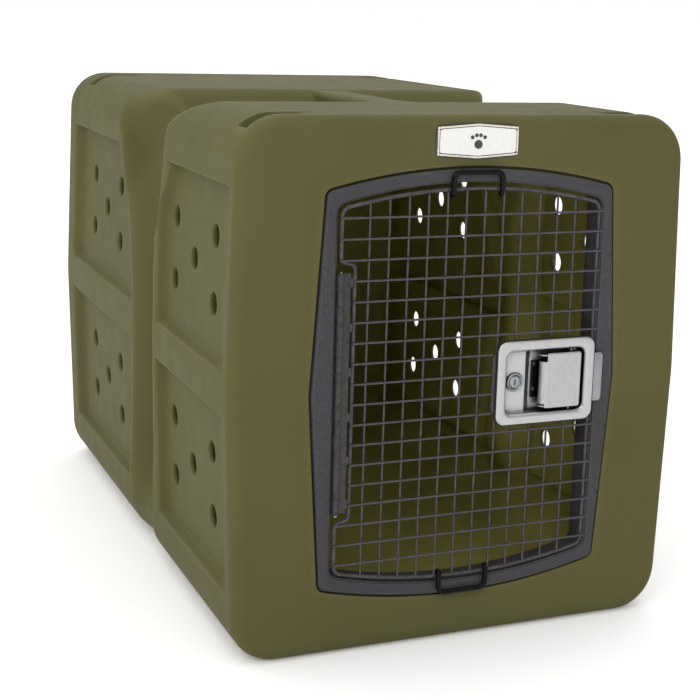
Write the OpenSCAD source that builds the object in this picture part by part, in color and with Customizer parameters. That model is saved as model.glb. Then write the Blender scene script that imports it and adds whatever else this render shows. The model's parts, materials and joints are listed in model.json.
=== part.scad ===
// Pet transport carrier: a one-piece rotomoulded shell with a moulded carrying bridge,
// a moulded door frame, and a welded wire door on a piano hinge with a keyed paddle latch.
// Frame: X to the right, Y from the door to the back, Z up.
// Origin: the middle of the base, under the centre of the overall box.

/* [Shell] */
// Width across the belt, half way up the sides
shell_w = 622; // [560:2:680]
// Height of the shell
shell_h = 672; // [650:2:720]
// Length of the shell, front face to back face
shell_l = 972; // [950:2:1060]
// Inward lean of each side above and below the belt, mm per mm
side_draft = 0.03; // [0:0.005:0.05]
// Radius of the four long corners
corner_r = 58; // [48:1:64]
// Radius of the edge round the front face
front_edge_r = 11; // [6:1:16]
// Radius of the edge round the back face
back_edge_r = 32; // [20:1:45]
// Wall thickness
wall = 6; // [5:0.5:6]
// Thickness of the front wall, which the door frame clamps
front_wall = 12; // [10:1:14]

/* [Waist groove] */
// Centre of the groove, back from the front face
groove_y = 427; // [422:1:432]
// Half width of the groove on the sides
groove_side_half = 70; // [60:1:74]
// Half width of the groove over the roof
groove_top_half = 120; // [110:1:126]
// Depth of the groove in the sides
groove_side_depth = 34; // [24:1:38]
// Depth of the groove in the roof
groove_top_depth = 56; // [50:1:60]
// Width of the carrying bridge
bridge_w = 58; // [44:1:70]
// Thickness of the carrying bridge
bridge_t = 23; // [18:1:26]

/* [Side panels] */
// Depth of the recessed panels
panel_depth = 13; // [8:1:15]
// Diameter of a vent hole
vent_d = 28; // [20:1:32]
// Distance between vent columns, half of the outer spacing
vent_dy = 89; // [80:1:92]
// Distance between vent rows, half of the outer spacing
vent_dz = 42.5; // [36:0.5:46]

/* [Door] */
// Pitch of the wire grid
grid_pitch = 25.4; // [25.4]
// Diameter of the grid wire
wire_d = 2.8; // [2.4:0.1:3]
// Diameter of the rod round the edge of the door
rim_d = 5; // [4.6:0.1:5.4]
// Half width of the doorway inside the frame
doorway_half_w = 180; // [180]
// Half height of the doorway at its middle
doorway_half_h = 255.5; // [255.5]
// Diameter of the rod of the two stop loops
loop_d = 6.8; // [5:0.1:6.8]

/* [Latch] */
// Width of the latch plate
latch_w = 139; // [139]
// Height of the latch plate
latch_h = 108.6; // [104:0.2:110]
// Sideways place of the latch plate's centre
latch_x = 106.4; // [106.4]

/* [Hidden] */
$fn = 48;

olive = "#5f5d3c";
frame_grey = "#48484a";
wire_grey = "#403e40";
gloss_black = "#161616";
stainless = "#c4c4c4";
dull_steel = "#8c8e90";

// Depths in front of the shell's front face are negative; y0 puts them in the part's frame.
latch_front = 11;
y0 = -(shell_l - latch_front) / 2;
mid_z = shell_h / 2;
half_w = shell_w / 2;
lean = sqrt(1 + side_draft * side_draft);

function smooth(t) = let (u = min(1, max(0, t))) u * u * (3 - 2 * u);

// ---------------------------------------------------------------- shell

side_steps = 5;
corner_steps = 6;
roof_steps = 2;
corner_x = half_w - side_draft * (mid_z - corner_r) - corner_r * lean;
corner_z = mid_z - corner_r;
lean_angle = atan(side_draft);

// How far the waist groove is open at distance y from the front, for a half width hw.
flank = 48;
function groove_open(y, hw) = smooth((hw - abs(y - groove_y)) / flank);
flare_from = 150;
flare_over = 130;
function groove_half(z) = groove_side_half
    + (groove_top_half - groove_side_half) * smooth((z - flare_from) / flare_over);
// The groove runs out above the base.
fade_from = -285;
fade_over = 120;
function side_depth(y, z) = groove_side_depth * groove_open(y, groove_half(z))
    * smooth((z - fade_from) / fade_over);
function roof_depth(y) = groove_top_depth * groove_open(y, groove_top_half);

// One quarter outline, from the belt up to the roof's centre line, drawn in by t.
function quarter(t) = concat(
    [for (k = [0:side_steps - 1])
        let (z = k / side_steps * (corner_z + corner_r * sin(lean_angle)))
        [half_w - side_draft * z - t * lean, z]],
    [for (k = [0:corner_steps])
        let (a = lean_angle + (90 - lean_angle) * k / corner_steps)
        [corner_x + (corner_r - t) * cos(a), corner_z + (corner_r - t) * sin(a)]],
    [for (k = [1:roof_steps]) [corner_x * (1 - k / roof_steps), mid_z - t]]);

// The waist groove moves an upper point in from the side and down from the roof.
function grooved(p, y) = let (ds = side_depth(y, p[1]), dr = roof_depth(y))
    [p[0] > corner_x ? p[0] - ds : p[0] * (corner_x - ds) / corner_x,
     p[1] > corner_z ? p[1] - dr : p[1] * (corner_z - dr) / corner_z];
function grooved_low(p, y) = [p[0] - side_depth(y, -p[1]), -p[1]];

function ring(y, t) = let (q = quarter(t), n = len(q),
    upper = [for (p = q) grooved(p, y)],
    lower = [for (k = [n - 1:-1:1]) q[k][0] > corner_x ? grooved_low(q[k], y) : [q[k][0], -q[k][1]]],
    right = concat(lower, upper))
    concat(right, [for (k = [len(right) - 2:-1:1]) [-right[k][0], right[k][1]]]);

edge_steps = 4;
groove_steps = 18;
function stations(front, back, rf, rb) = concat(
    [for (k = [0:edge_steps]) let (a = 90 * k / edge_steps) [front + rf * (1 - cos(a)), rf * (1 - sin(a))]],
    [for (k = [0:groove_steps]) [groove_y + (2 * k / groove_steps - 1) * (groove_top_half + 4), 0]],
    [for (k = [0:edge_steps]) let (a = 90 * k / edge_steps) [back - rb * (1 - sin(a)), rb * (1 - cos(a))]]);

module loft(front, back, rf, rb, t) {
    st = stations(front, back, rf, rb);
    rings = [for (s = st) ring(s[0], t + s[1])];
    n = len(rings[0]);
    m = len(st);
    points = [for (i = [0:m - 1]) for (p = rings[i]) [p[0], y0 + st[i][0], mid_z + p[1]]];
    sides = [for (i = [0:m - 2]) for (j = [0:n - 1]) let (k = (j + 1) % n)
        each [[i * n + j, i * n + k, (i + 1) * n + k], [i * n + j, (i + 1) * n + k, (i + 1) * n + j]]];
    // Each end face fans out from the middle of a corner.
    first = roof_steps + floor(corner_steps / 2);
    polyhedron(points, concat([[for (j = [n:-1:1]) (first + j) % n]], sides,
        [[for (j = [0:n - 1]) (m - 1) * n + (first + j) % n]]), convexity = 6);
}

// A recessed side panel: five rim points [y, z], the corner by the waist groove cut off.
front_panel = [20, 342, 306, 172];
back_panel = [893, 503, 588, 172];
upper_panel = [27, 251];
lower_panel = [-251, -25];
function panel_rim(p, z, cut) = [[p[0], z[0]], [p[1], z[0]],
    [p[1], cut ? p[3] : z[1] - 40], [cut ? p[2] : p[1], z[1]], [p[0], z[1]]];
// Widths of the sloped flanks: at the outer end, at the groove end, below and above.
function panel_floor(p, z, cut, f) = let (s = sign(p[1] - p[0]))
    [[p[0] + s * f[0], z[0] + f[2]], [p[1] - s * f[1], z[0] + f[2]],
     [p[1] - s * f[1], (cut ? p[3] : z[1] - 40) - f[3]],
     [(cut ? p[2] : p[1]) - s * f[1], z[1] - f[3]], [p[0] + s * f[0], z[1] - f[3]]];

function side_x(z) = half_w - side_draft * abs(z);
// grow widens the cutter by the wall, for the cavity behind the panel.
module panel_cutter(p, z, cut, f, grow) {
    s = sign(p[1] - p[0]);
    gy = [-s, s, s, s, -s];
    gz = [-1, -1, 1, 1, 1];
    rim = panel_rim(p, z, cut);
    deep = panel_floor(p, z, cut, f);
    pts = concat(
        [for (k = [0:4]) [side_x(deep[k][1]) - panel_depth - grow,
            y0 + deep[k][0] + grow * gy[k], mid_z + deep[k][1] + grow * gz[k]]],
        [for (k = [0:4]) [side_x(rim[k][1]) + 1.2,
            y0 + rim[k][0] + grow * gy[k], mid_z + rim[k][1] + grow * gz[k]]],
        [for (k = [0:4]) [half_w + 20, y0 + rim[k][0] + grow * gy[k], mid_z + rim[k][1] + grow * gz[k]]]);
    flat = [[0, 1, 2], [0, 2, 3], [0, 3, 4]];
    walls = [for (lay = [0, 1]) for (k = [0:4]) let (j = (k + 1) % 5, a = 5 * lay)
        each [[a + j, a + k, a + 5 + k], [a + j, a + 5 + k, a + 5 + j]]];
    top = [for (tri = flat) [tri[2] + 10, tri[1] + 10, tri[0] + 10]];
    faces = concat(flat, walls, top);
    polyhedron(pts, s > 0 ? faces : [for (tri = faces) [tri[2], tri[1], tri[0]]]);
}

module panels(grow) {
    for (side = [0, 1]) mirror([side, 0, 0]) {
        panel_cutter(front_panel, upper_panel, true, [6, 12, 8, 3], grow);
        panel_cutter(front_panel, lower_panel, false, [6, 12, 8, 3], grow);
        panel_cutter(back_panel, upper_panel, true, [34, 12, 8, 3], grow);
        panel_cutter(back_panel, lower_panel, false, [34, 12, 8, 3], grow);
    }
}

// Slots across the upper corners, for tie-down straps.
strap_w = 34;
strap_front_y = 46;
strap_back_y = 862;
strap_low = [half_w - 26.8, mid_z - 15.6];
strap_high = [204, mid_z];
module strap_slots(grow) {
    d = strap_high - strap_low;
    n = [-d[1], d[0]] / norm(d) * -grow;
    for (side = [0, 1]) mirror([side, 0, 0])
        for (yc = [strap_front_y, strap_back_y])
            slab(yc - strap_w / 2 - grow, yc + strap_w / 2 + grow)
                polygon([strap_low - n, strap_low - n - d * 0.4, [half_w + 30, mid_z + 20],
                    strap_high - n + d * 0.4, strap_high - n]);
}

// A flat shape in X and Z, from depth ya to depth yb behind the front face.
module slab(ya, yb) {
    translate([0, y0 + yb, mid_z])
        rotate([90, 0, 0])
            linear_extrude(yb - ya) children();
}

module outer_form() {
    difference() {
        loft(0, shell_l, front_edge_r, back_edge_r, 0);
        panels(0);
        strap_slots(0);
    }
}

module cavity() {
    difference() {
        loft(front_wall, shell_l - wall, 6, back_edge_r - wall, wall);
        panels(wall);
        strap_slots(wall);
    }
}

vent_z = 137.5;
vent_front_y = 209;
vent_back_y = 706;
module vents() {
    for (yc = [vent_front_y, vent_back_y])
        for (zc = [-vent_z, vent_z])
            for (p = [[0, 0], [-1, -1], [-1, 1], [1, -1], [1, 1]])
                translate([-half_w - 5, y0 + yc + p[0] * vent_dy, mid_z + zc + p[1] * vent_dz])
                    rotate([0, 90, 0])
                        cylinder(h = shell_w + 10, d = vent_d);
}

frame_gap = 2;
rebate = 6;
module shell() {
    color(olive)
        difference() {
            outer_form();
            cavity();
            vents();
            slab(-1, rebate) polygon(outline(flange_mid + frame_gap, flange_end + frame_gap,
                flange_apex + frame_gap, flange_arc + frame_gap, 12));
            slab(rebate - 1, front_wall + 1) polygon(doorway(5));
            for (p = screw_places()) at_depth(p, rebate - 1)
                cylinder(h = front_wall - rebate + 2, r = screw_r + 0.3);
            slab(-1, 0.8) polygon(hexagon(badge_half_w + 0.6, badge_half_h + 0.6));
        }
}

bridge_round = 8;
bridge_reach = groove_top_half - 12;
module carry_bridge() {
    color(olive)
        difference() {
            slab(groove_y - bridge_reach, groove_y + bridge_reach)
                translate([0, mid_z - 1.5 - bridge_t / 2])
                    rounded(bridge_w, bridge_t, bridge_round);
            loft(0, shell_l, front_edge_r, back_edge_r, 0);
        }
}

// ---------------------------------------------------------------- door frame

// Outline with bowed top and bottom: half width at mid height and at height end_z,
// apex height, radius of the bow, and corner radius. Points run anticlockwise.
end_z = 245;
function outline(w_mid, w_end, apex, bow, rc) = let (
    m = (w_end - w_mid) / end_z, s = sqrt(1 + m * m), zc = apex - bow, a = w_mid - rc * s,
    qa = 1 + m * m, qb = 2 * (a * m - zc), qc = a * a + zc * zc - (bow - rc) * (bow - rc),
    cz = (-qb + sqrt(qb * qb - 4 * qa * qc)) / (2 * qa), cx = a + m * cz,
    from = atan2(-m, 1), to = atan2(cz - zc, cx),
    q = concat([for (k = [0:6]) let (t = from + (to - from) * k / 6) [cx + rc * cos(t), cz + rc * sin(t)]],
               [for (k = [1:8]) let (t = to + (90 - to) * k / 8) [bow * cos(t), zc + bow * sin(t)]]),
    n = len(q))
    concat(w_mid == w_end ? [] : [[w_mid, 0]], q, [for (k = [n - 2:-1:0]) [-q[k][0], q[k][1]]],
           w_mid == w_end ? [] : [[-w_mid, 0]], [for (k = [0:n - 2]) [-q[k][0], -q[k][1]]],
           [for (k = [n - 1:-1:0]) [q[k][0], -q[k][1]]]);

doorway_bow = 672;
doorway_r = 12;
function doorway(grow) = outline(doorway_half_w + grow, doorway_half_w + grow,
    doorway_half_h + grow, doorway_bow + grow, doorway_r + grow);

flange_mid = 208.5;
flange_end = 193;
flange_apex = 272;
flange_arc = 757;
flange_r = 10;
flange_front = -2;
pad_front = -3;
pad_half = 157;
sleeve_t = 4;
sleeve_back = 36;
lip_step = 2;

screw_r = 2;
function screw_places() = concat(
    [for (sx = [-1, 1]) for (z = [-120, 0, 120]) [sx * (195 - abs(z) * 0.03), z]],
    [for (sx = [-1, 1]) for (sz = [-1, 1]) [sx * 100, sz * 259]]);
// Puts a Z-up child on its side, pointing back into the cabin from depth y.
module at_depth(p, y) {
    translate([p[0], y0 + y, mid_z + p[1]])
        rotate([-90, 0, 0]) children();
}

rivet_z = [-120, -40, 40, 120];
rivet_y = 21;
rivet_r = 2;
strike_z = 17;
module door_frame() {
    flange = outline(flange_mid, flange_end, flange_apex, flange_arc, flange_r);
    color(frame_grey)
        difference() {
            union() {
                slab(flange_front, rebate) polygon(flange);
                slab(rebate - 1, sleeve_back) polygon(doorway(sleeve_t));
                intersection() {
                    slab(pad_front, rebate) polygon(flange);
                    slab(pad_front, rebate) square([2 * half_w, 2 * pad_half], center = true);
                }
            }
            slab(pad_front - 1, 0) polygon(doorway(lip_step));
            slab(-1, sleeve_back + 1) polygon(doorway(0));
            for (p = screw_places()) at_depth(p, 0.5) cylinder(h = 10, r = screw_r + 0.05);
            for (z = rivet_z)
                translate([-doorway_half_w - sleeve_t - 1, y0 + rivet_y, mid_z + z])
                    rotate([0, 90, 0]) cylinder(h = sleeve_t + 2, r = rivet_r + 0.05);
            // Opening for the latch bolt
            slab(9, 20) translate([doorway_half_w + sleeve_t / 2, 0]) square([sleeve_t + 1, 24], center = true);
        }
}

retainer_back = front_wall + 4;
retainer_w = 20;
module frame_retainer() {
    color(frame_grey)
        difference() {
            slab(front_wall, retainer_back) polygon(doorway(sleeve_t + retainer_w));
            slab(front_wall - 1, retainer_back + 1) polygon(doorway(sleeve_t + 0.3));
            for (p = screw_places()) at_depth(p, front_wall - 1) cylinder(h = 6, r = screw_r + 0.3);
        }
}

module frame_screws() {
    head_h = 2.4;
    color(dull_steel)
        for (p = screw_places()) {
            at_depth(p, 1) cylinder(h = retainer_back - 1, r = screw_r);
            at_depth(p, retainer_back) difference() {
                cylinder(h = head_h, r1 = 4, r2 = 3.2);
                translate([0, 0, head_h - 1.2]) cylinder(h = 2, r = 1.6, $fn = 6);
            }
        }
}

strike_t = 1.2;
module strike_plate() {
    color(stainless)
        difference() {
            slab(4, 30) translate([doorway_half_w - strike_t / 2, 0]) square([strike_t, 2 * strike_z + 16], center = true);
            slab(9, 20) translate([doorway_half_w - strike_t / 2, 0]) square([strike_t + 1, 24], center = true);
        }
}

// ---------------------------------------------------------------- badge

badge_z = 305.5;
badge_half_w = 55;
badge_half_h = 21.5;
function hexagon(w, h) = [for (p = [[1, -0.82], [1, 0.82], [0, 1], [-1, 0.82], [-1, -0.82], [0, -1]])
    [p[0] * w, badge_z + p[1] * h]];
badge_border = 3;
module badge_plate() {
    color(stainless)
        difference() {
            slab(-2.2, 0.8) polygon(hexagon(badge_half_w, badge_half_h));
            slab(-3, -1.4) polygon(hexagon(badge_half_w - badge_border, badge_half_h - badge_border));
        }
}

module badge_face() {
    color("white")
        slab(-1.9, -1.4) polygon(hexagon(badge_half_w - badge_border - 0.4, badge_half_h - badge_border - 0.4));
}

// A plain paw mark: one broad pad and four toes.
module badge_emblem() {
    color("#2c2c2c") {
        at_depth([0, badge_z - 4], -2.5) cylinder(h = 0.6, r = 5.4);
        for (k = [-1.5:1:1.5])
            at_depth([k * 5.6, badge_z + 8.2 - abs(k) * 2.4], -2.5) cylinder(h = 0.6, r = 2.3);
    }
}

// ---------------------------------------------------------------- hinge

pin_x = -176;
pin_y = -5.2;
knuckle_r = 4;
knuckles = 15;
knuckle_h = 20;
hinge_half = knuckles * knuckle_h / 2;
knuckle_gap = 0.3;
hinge_t = 1.5;
pin_r = 1.6;
pin_fit = 0.05;
leaf_clear = 0.5;
module hinge_leaf(first) {
    difference() {
        union() {
            for (k = [first:2:knuckles - 1])
                translate([pin_x, y0 + pin_y, mid_z - hinge_half + k * knuckle_h + knuckle_gap / 2])
                    cylinder(h = knuckle_h - knuckle_gap, r = knuckle_r);
            children();
        }
        for (k = [1 - first:2:knuckles - 1])
            translate([pin_x, y0 + pin_y, mid_z - hinge_half + k * knuckle_h - knuckle_gap / 2])
                cylinder(h = knuckle_h + knuckle_gap, r = knuckle_r + leaf_clear);
        translate([pin_x, y0 + pin_y, mid_z - hinge_half - 1])
            cylinder(h = 2 * hinge_half + 2, r = pin_r + pin_fit);
    }
}

leaf_back = 27;
module hinge_frame_leaf() {
    color(wire_grey)
        hinge_leaf(0)
            difference() {
                translate([pin_x - knuckle_r, y0 + pin_y, mid_z - hinge_half])
                    cube([hinge_t, leaf_back - pin_y, 2 * hinge_half]);
                for (z = rivet_z)
                    translate([pin_x - knuckle_r - 1, y0 + rivet_y, mid_z + z])
                        rotate([0, 90, 0]) cylinder(h = 4, r = rivet_r + 0.05);
            }
}

leaf_edge = -162;
module hinge_door_leaf() {
    color(wire_grey)
        hinge_leaf(1)
            translate([pin_x, y0 + pin_y + knuckle_r - hinge_t, mid_z - hinge_half + 0.5])
                cube([leaf_edge - pin_x, hinge_t, 2 * hinge_half - 1]);
}

module hinge_pin() {
    color(dull_steel)
        translate([pin_x, y0 + pin_y, mid_z - hinge_half - 2])
            union() {
                cylinder(h = 2 * hinge_half + 4, r = pin_r);
                cylinder(h = 1.8, r = 2.6);
            }
}

module hinge_rivets() {
    color(dull_steel)
        for (z = rivet_z)
            translate([pin_x - knuckle_r, y0 + rivet_y, mid_z + z])
                rotate([0, 90, 0]) {
                    translate([0, 0, -sleeve_t - 1.5]) cylinder(h = 1.5, r = 3.4);
                    translate([0, 0, -sleeve_t]) cylinder(h = sleeve_t + hinge_t, r = rivet_r);
                    translate([0, 0, hinge_t]) cylinder(h = 1.2, r1 = 3.6, r2 = 2.4);
                }
}

weld_z = [-138, -83, -28, 28, 83, 138];
module hinge_welds() {
    color(wire_grey)
        for (z = weld_z)
            translate([leaf_edge, y0 + rim_y - 1.2, mid_z + z - 5])
                cube([rim_hinge_x - rim_d / 2 - leaf_edge, 2.4, 10]);
}

// ---------------------------------------------------------------- wire door

rim_y = -1.5;
rim_half_w = 175;
rim_hinge_x = -157;
rim_apex = 248;
rim_bow = 730;
rim_corner = 12;
jog_out_z = 163.5;
jog_in_z = 159.5;
jog_r = 7;

module rod(p, q, d) {
    v = q - p;
    translate(p)
        rotate([0, acos(v[2] / norm(v)), atan2(v[1], v[0])])
            cylinder(h = norm(v), d = d);
}

// A bent rod, swept along points; a closed one joins its last point to its first.
rod_sides = 12;
function unit(v) = v / norm(v);
function heading(p, i, closed) = let (n = len(p),
    from = closed ? p[(i + n - 1) % n] : p[max(i - 1, 0)],
    to = closed ? p[(i + 1) % n] : p[min(i + 1, n - 1)]) unit(to - from);
// The first side direction is carried along the rod without twisting.
function carried(p, side, closed) = [for (i = 0, v = side; i < len(p); i = i + 1,
    v = i < len(p) ? let (t = heading(p, i, closed)) unit(v - (v * t) * t) : v) v];
module tube(p, d, side, closed) {
    n = len(p);
    v = carried(p, side, closed);
    pts = [for (i = [0:n - 1]) let (w = cross(heading(p, i, closed), v[i])) for (k = [0:rod_sides - 1])
        let (a = 360 * k / rod_sides) p[i] + d / 2 * (cos(a) * v[i] + sin(a) * w)];
    last = closed ? n - 1 : n - 2;
    skin = [for (i = [0:last]) for (k = [0:rod_sides - 1])
        let (j = (k + 1) % rod_sides, a = i * rod_sides, b = (i + 1) % n * rod_sides)
        each [[a + k, b + k, b + j], [a + k, b + j, a + j]]];
    ends = closed ? [] : [[for (k = [0:rod_sides - 1]) k],
        [for (k = [rod_sides - 1:-1:0]) (n - 1) * rod_sides + k]];
    polyhedron(pts, concat(skin, ends), convexity = 8);
}
// Points along an arc, as [x, z].
function arc(c, r, a, b, steps) = [for (k = [0:steps]) let (t = a + (b - a) * k / steps)
    [c[0] + r * cos(t), c[1] + r * sin(t)]];

rim_corner_x = rim_half_w - rim_corner;
rim_corner_z = rim_apex - rim_bow
    + sqrt(pow(rim_bow - rim_corner, 2) - rim_corner_x * rim_corner_x);
rim_corner_a = atan2(rim_corner_z - rim_apex + rim_bow, rim_corner_x);

// The S-bend beside each end of the hinge turns by jog_a and back.
jog_a = atan2(rim_half_w + rim_hinge_x, jog_out_z - jog_in_z);
jog_len = jog_r * tan(jog_a / 2);
upper_rim = concat(
    arc([rim_corner_x, rim_corner_z], rim_corner, 0, rim_corner_a, 6),
    arc([0, rim_apex - rim_bow], rim_bow, rim_corner_a + 1, 179 - rim_corner_a, 12),
    arc([-rim_corner_x, rim_corner_z], rim_corner, 180 - rim_corner_a, 180, 6),
    arc([jog_r - rim_half_w, jog_out_z + jog_len], jog_r, 180, 180 + jog_a, 4),
    arc([rim_hinge_x - jog_r, jog_in_z - jog_len], jog_r, jog_a, 0, 4));
module door_rim() {
    n = len(upper_rim);
    path = concat(upper_rim, [for (k = [n - 1:-1:0]) [upper_rim[k][0], -upper_rim[k][1]]]);
    color(wire_grey)
        tube([for (q = path) [q[0], y0 + rim_y, mid_z + q[1]]], rim_d, [0, 1, 0], true);
}

columns = 12;
rows = 18;
h_wire_y = rim_y - (rim_d + wire_d) / 2;
v_wire_y = h_wire_y + wire_d;
function rim_z(x) = rim_apex - rim_bow + sqrt(rim_bow * rim_bow - x * x);

bracket_left = 31;
bracket_half_h = 50;
tab_half_h = 39;
module wires_vertical() {
    color(wire_grey)
        for (i = [0:columns - 1]) {
            x = (i - (columns - 1) / 2) * grid_pitch;
            end = rim_z(x) - rim_d / 2 + 0.02;
            if (x < bracket_left)
                rod([x, y0 + v_wire_y, mid_z - end], [x, y0 + v_wire_y, mid_z + end], wire_d);
            else
                for (s = [-1, 1])
                    rod([x, y0 + v_wire_y, mid_z + s * 43], [x, y0 + v_wire_y, mid_z + s * end], wire_d);
        }
}

overhang = 2;
module wires_horizontal() {
    color(wire_grey)
        for (j = [0:rows - 1]) {
            z = (j - (rows - 1) / 2) * grid_pitch;
            left = abs(z) < jog_in_z ? rim_hinge_x - rim_d / 2 : -rim_half_w - rim_d / 2;
            right = abs(z) < tab_half_h ? bracket_left : rim_half_w + rim_d / 2 + overhang;
            rod([left, y0 + h_wire_y, mid_z + z], [right, y0 + h_wire_y, mid_z + z], wire_d);
        }
}

// A stop loop: a U of rod in front of the frame, its feet turned back behind the rim.
loop_half = 33;
loop_bar_z = 268.5;
loop_bend = 9;
foot_bend = 5;
loop_y = rim_y - (rim_d + loop_d) / 2;
foot_z = rim_z(loop_half) - (rim_d + loop_d) / 2 - 0.4;
// Half of a loop, from its foot to its bar, as [x, y, z].
half_loop = concat(
    [for (q = arc([foot_bend, foot_bend], foot_bend, 270, 180, 5))
        [loop_half, loop_y + q[0], foot_z + q[1]]],
    [for (q = arc([loop_half - loop_bend, loop_bar_z - loop_bend], loop_bend, 0, 90, 6))
        [q[0], loop_y, q[1]]]);
module stop_loop() {
    n = len(half_loop);
    path = concat(half_loop, [for (k = [n - 1:-1:0]) [-half_loop[k][0], half_loop[k][1], half_loop[k][2]]]);
    color(gloss_black)
        tube([for (q = path) [q[0], y0 + q[1], mid_z + q[2]]], loop_d, [1, 0, 0], false);
}

module stop_loop_top() {
    stop_loop();
}

module stop_loop_bottom() {
    translate([0, 0, 2 * mid_z]) mirror([0, 0, 1]) stop_loop();
}

// ---------------------------------------------------------------- latch

// Latch pieces are drawn about the plate's centre: X sideways, Z up, depths as above.
bracket_y = [-6, -4];
gasket_y = [-8.2, -6];
flange_y = [-10.2, -8.2];
pan_half_h = 40.5;
pan_t = 1.5;
window_half_h = 42.5;
pan_left = -55.2;
pan_right = 54.6;
land_y = -2.2;
floor_y = 7;
step_top = -26.6;
step_foot = -16.8;

module rounded(w, h, r) {
    for (sx = [-1, 1]) for (sz = [-1, 1])
        translate([sx * (w / 2 - r), sz * (h / 2 - r)]) circle(r = r);
    square([w - 2 * r, h], center = true);
    square([w, h - 2 * r], center = true);
}

module plate(y, shift = 0) {
    slab(y[0], y[1]) translate([latch_x + shift, 0]) children();
}

stud_x = 61.5;
stud_z = 36;
stud_r = 2;
function stud_places() = [for (sx = [-1, 1]) for (sz = [-1, 1]) [latch_x + sx * stud_x, sz * stud_z]];

module window(half_h) {
    translate([pan_left - pan_t - 0.3, -half_h])
        square([pan_right - pan_left + 2 * pan_t + 0.6, 2 * half_h]);
}

module latch_bracket() {
    tab_w = 30;
    color(wire_grey)
        difference() {
            union() {
                plate(bracket_y) rounded(latch_w - 3, 2 * bracket_half_h, 8);
                plate(bracket_y, bracket_left - latch_x + tab_w / 2) rounded(tab_w, 2 * tab_half_h, 6);
            }
            slab(bracket_y[0] - 1, bracket_y[1] + 1) translate([latch_x, 0]) window(window_half_h);
            for (p = stud_places()) at_depth(p, bracket_y[0] - 1) cylinder(h = 4, r = stud_r + 0.2);
        }
}

module latch_gasket() {
    color(gloss_black)
        difference() {
            plate(gasket_y) rounded(latch_w - 1, latch_h - 1, 11);
            slab(gasket_y[0] - 1, gasket_y[1] + 1) translate([latch_x, 0]) window(window_half_h);
            for (p = stud_places()) at_depth(p, gasket_y[0] - 1) cylinder(h = 4, r = stud_r + 0.2);
            slab(stop_y[0], stop_y[1] + 1) translate([latch_x + stop_x, -stop_half_h - 0.3])
                square([40, 2 * stop_half_h + 0.6]);
        }
}

stop_y = [-7.2, -6];
stop_x = 63;
stop_end = 84;
stop_half_h = 32;
module stop_plate() {
    color(stainless)
        plate(stop_y) intersection() {
            translate([stop_end - 15, 0]) rounded(30, 2 * stop_half_h, 5);
            translate([stop_x + 0.2, -stop_half_h]) square([40, 2 * stop_half_h]);
        }
}

// The dished pan's section in X and Y, drawn in by the sheet's thickness when inside.
function pan_section(t, top) = [[pan_left - t, top], [pan_left - t, land_y + t],
    [step_top - t * 0.5, land_y + t], [step_foot - t * 0.5, floor_y + t],
    [pan_right + t, floor_y + t], [pan_right + t, top]];
module pan_solid(t, top, half_h) {
    translate([latch_x, y0, mid_z - half_h])
        linear_extrude(2 * half_h) polygon(pan_section(t, top));
}

lock_x = -41.2;
barrel_r = 8.5;
paddle_pin_x = 37.4;
paddle_pin_y = -4;
paddle_pin_r = 2;
arm_slot = [20, 42];
arm_slot_half = 8;
module latch_tray() {
    color(stainless)
        difference() {
            union() {
                plate(flange_y) rounded(latch_w, latch_h, 12);
                pan_solid(pan_t, flange_y[1] - 0.5, pan_half_h + pan_t);
            }
            pan_solid(0, flange_y[0] - 1, pan_half_h);
            at_depth([latch_x + lock_x, 0], land_y - 1) cylinder(h = 5, r = barrel_r + 0.1);
            translate([latch_x + paddle_pin_x, y0 + paddle_pin_y, mid_z - pan_half_h - 3])
                cylinder(h = 2 * pan_half_h + 6, r = paddle_pin_r + 0.03);
            slab(floor_y - 1, floor_y + 3) translate([latch_x + arm_slot[0], -arm_slot_half])
                square([arm_slot[1] - arm_slot[0], 2 * arm_slot_half]);
            for (p = well_rivet_places()) at_depth(p, floor_y - 1) cylinder(h = 4, r = 1.55);
        }
}

module latch_studs() {
    color(dull_steel)
        for (p = stud_places()) at_depth(p, flange_y[1]) cylinder(h = 11, r = stud_r);
}

module latch_nuts() {
    color(dull_steel)
        for (p = stud_places())
            at_depth(p, bracket_y[1]) difference() {
                cylinder(h = 3.2, r = 4.04, $fn = 6);
                translate([0, 0, -1]) cylinder(h = 6, r = stud_r + 0.02);
            }
}

well_x = [-13.2, 44];
well_half_h = 24;
function well_rivet_places() = [for (z = [-13, 20]) [latch_x - 10.2, z]];
module well_plate() {
    color(gloss_black)
        difference() {
            slab(floor_y - 1.5, floor_y) translate([latch_x + well_x[0], -well_half_h])
                square([well_x[1] - well_x[0], 2 * well_half_h]);
            slab(floor_y - 3, floor_y + 1) translate([latch_x + arm_slot[0], -arm_slot_half])
                square([arm_slot[1] - arm_slot[0], 2 * arm_slot_half]);
            for (p = well_rivet_places()) at_depth(p, floor_y - 3) cylinder(h = 4, r = 1.55);
        }
}

module well_rivets() {
    color(gloss_black)
        for (p = well_rivet_places()) {
            at_depth(p, floor_y - 2.7) cylinder(h = 1.2, r1 = 1.8, r2 = 2.8);
            at_depth(p, floor_y - 1.5) cylinder(h = 1.5 + pan_t, r = 1.5);
        }
}

bolt_y = [10, 18];
bolt_half_h = 9;
bolt_tail = -14.4;
bolt_nose = 71.6;
bolt_bevel = 8;
bolt_slot = [28, 46];
housing_x = [-8, 62];
module bolt_housing() {
    color(dull_steel)
        difference() {
            translate([latch_x + housing_x[0], y0 + floor_y + pan_t, mid_z - bolt_half_h - 2])
                cube([housing_x[1] - housing_x[0], bolt_y[1] + 2.5 - floor_y - pan_t, 2 * bolt_half_h + 4]);
            translate([latch_x + housing_x[0] - 1, y0 + floor_y, mid_z - bolt_half_h - 0.5])
                cube([housing_x[1] - housing_x[0] + 2, bolt_y[1] + 1 - floor_y, 2 * bolt_half_h + 1]);
        }
}

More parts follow.
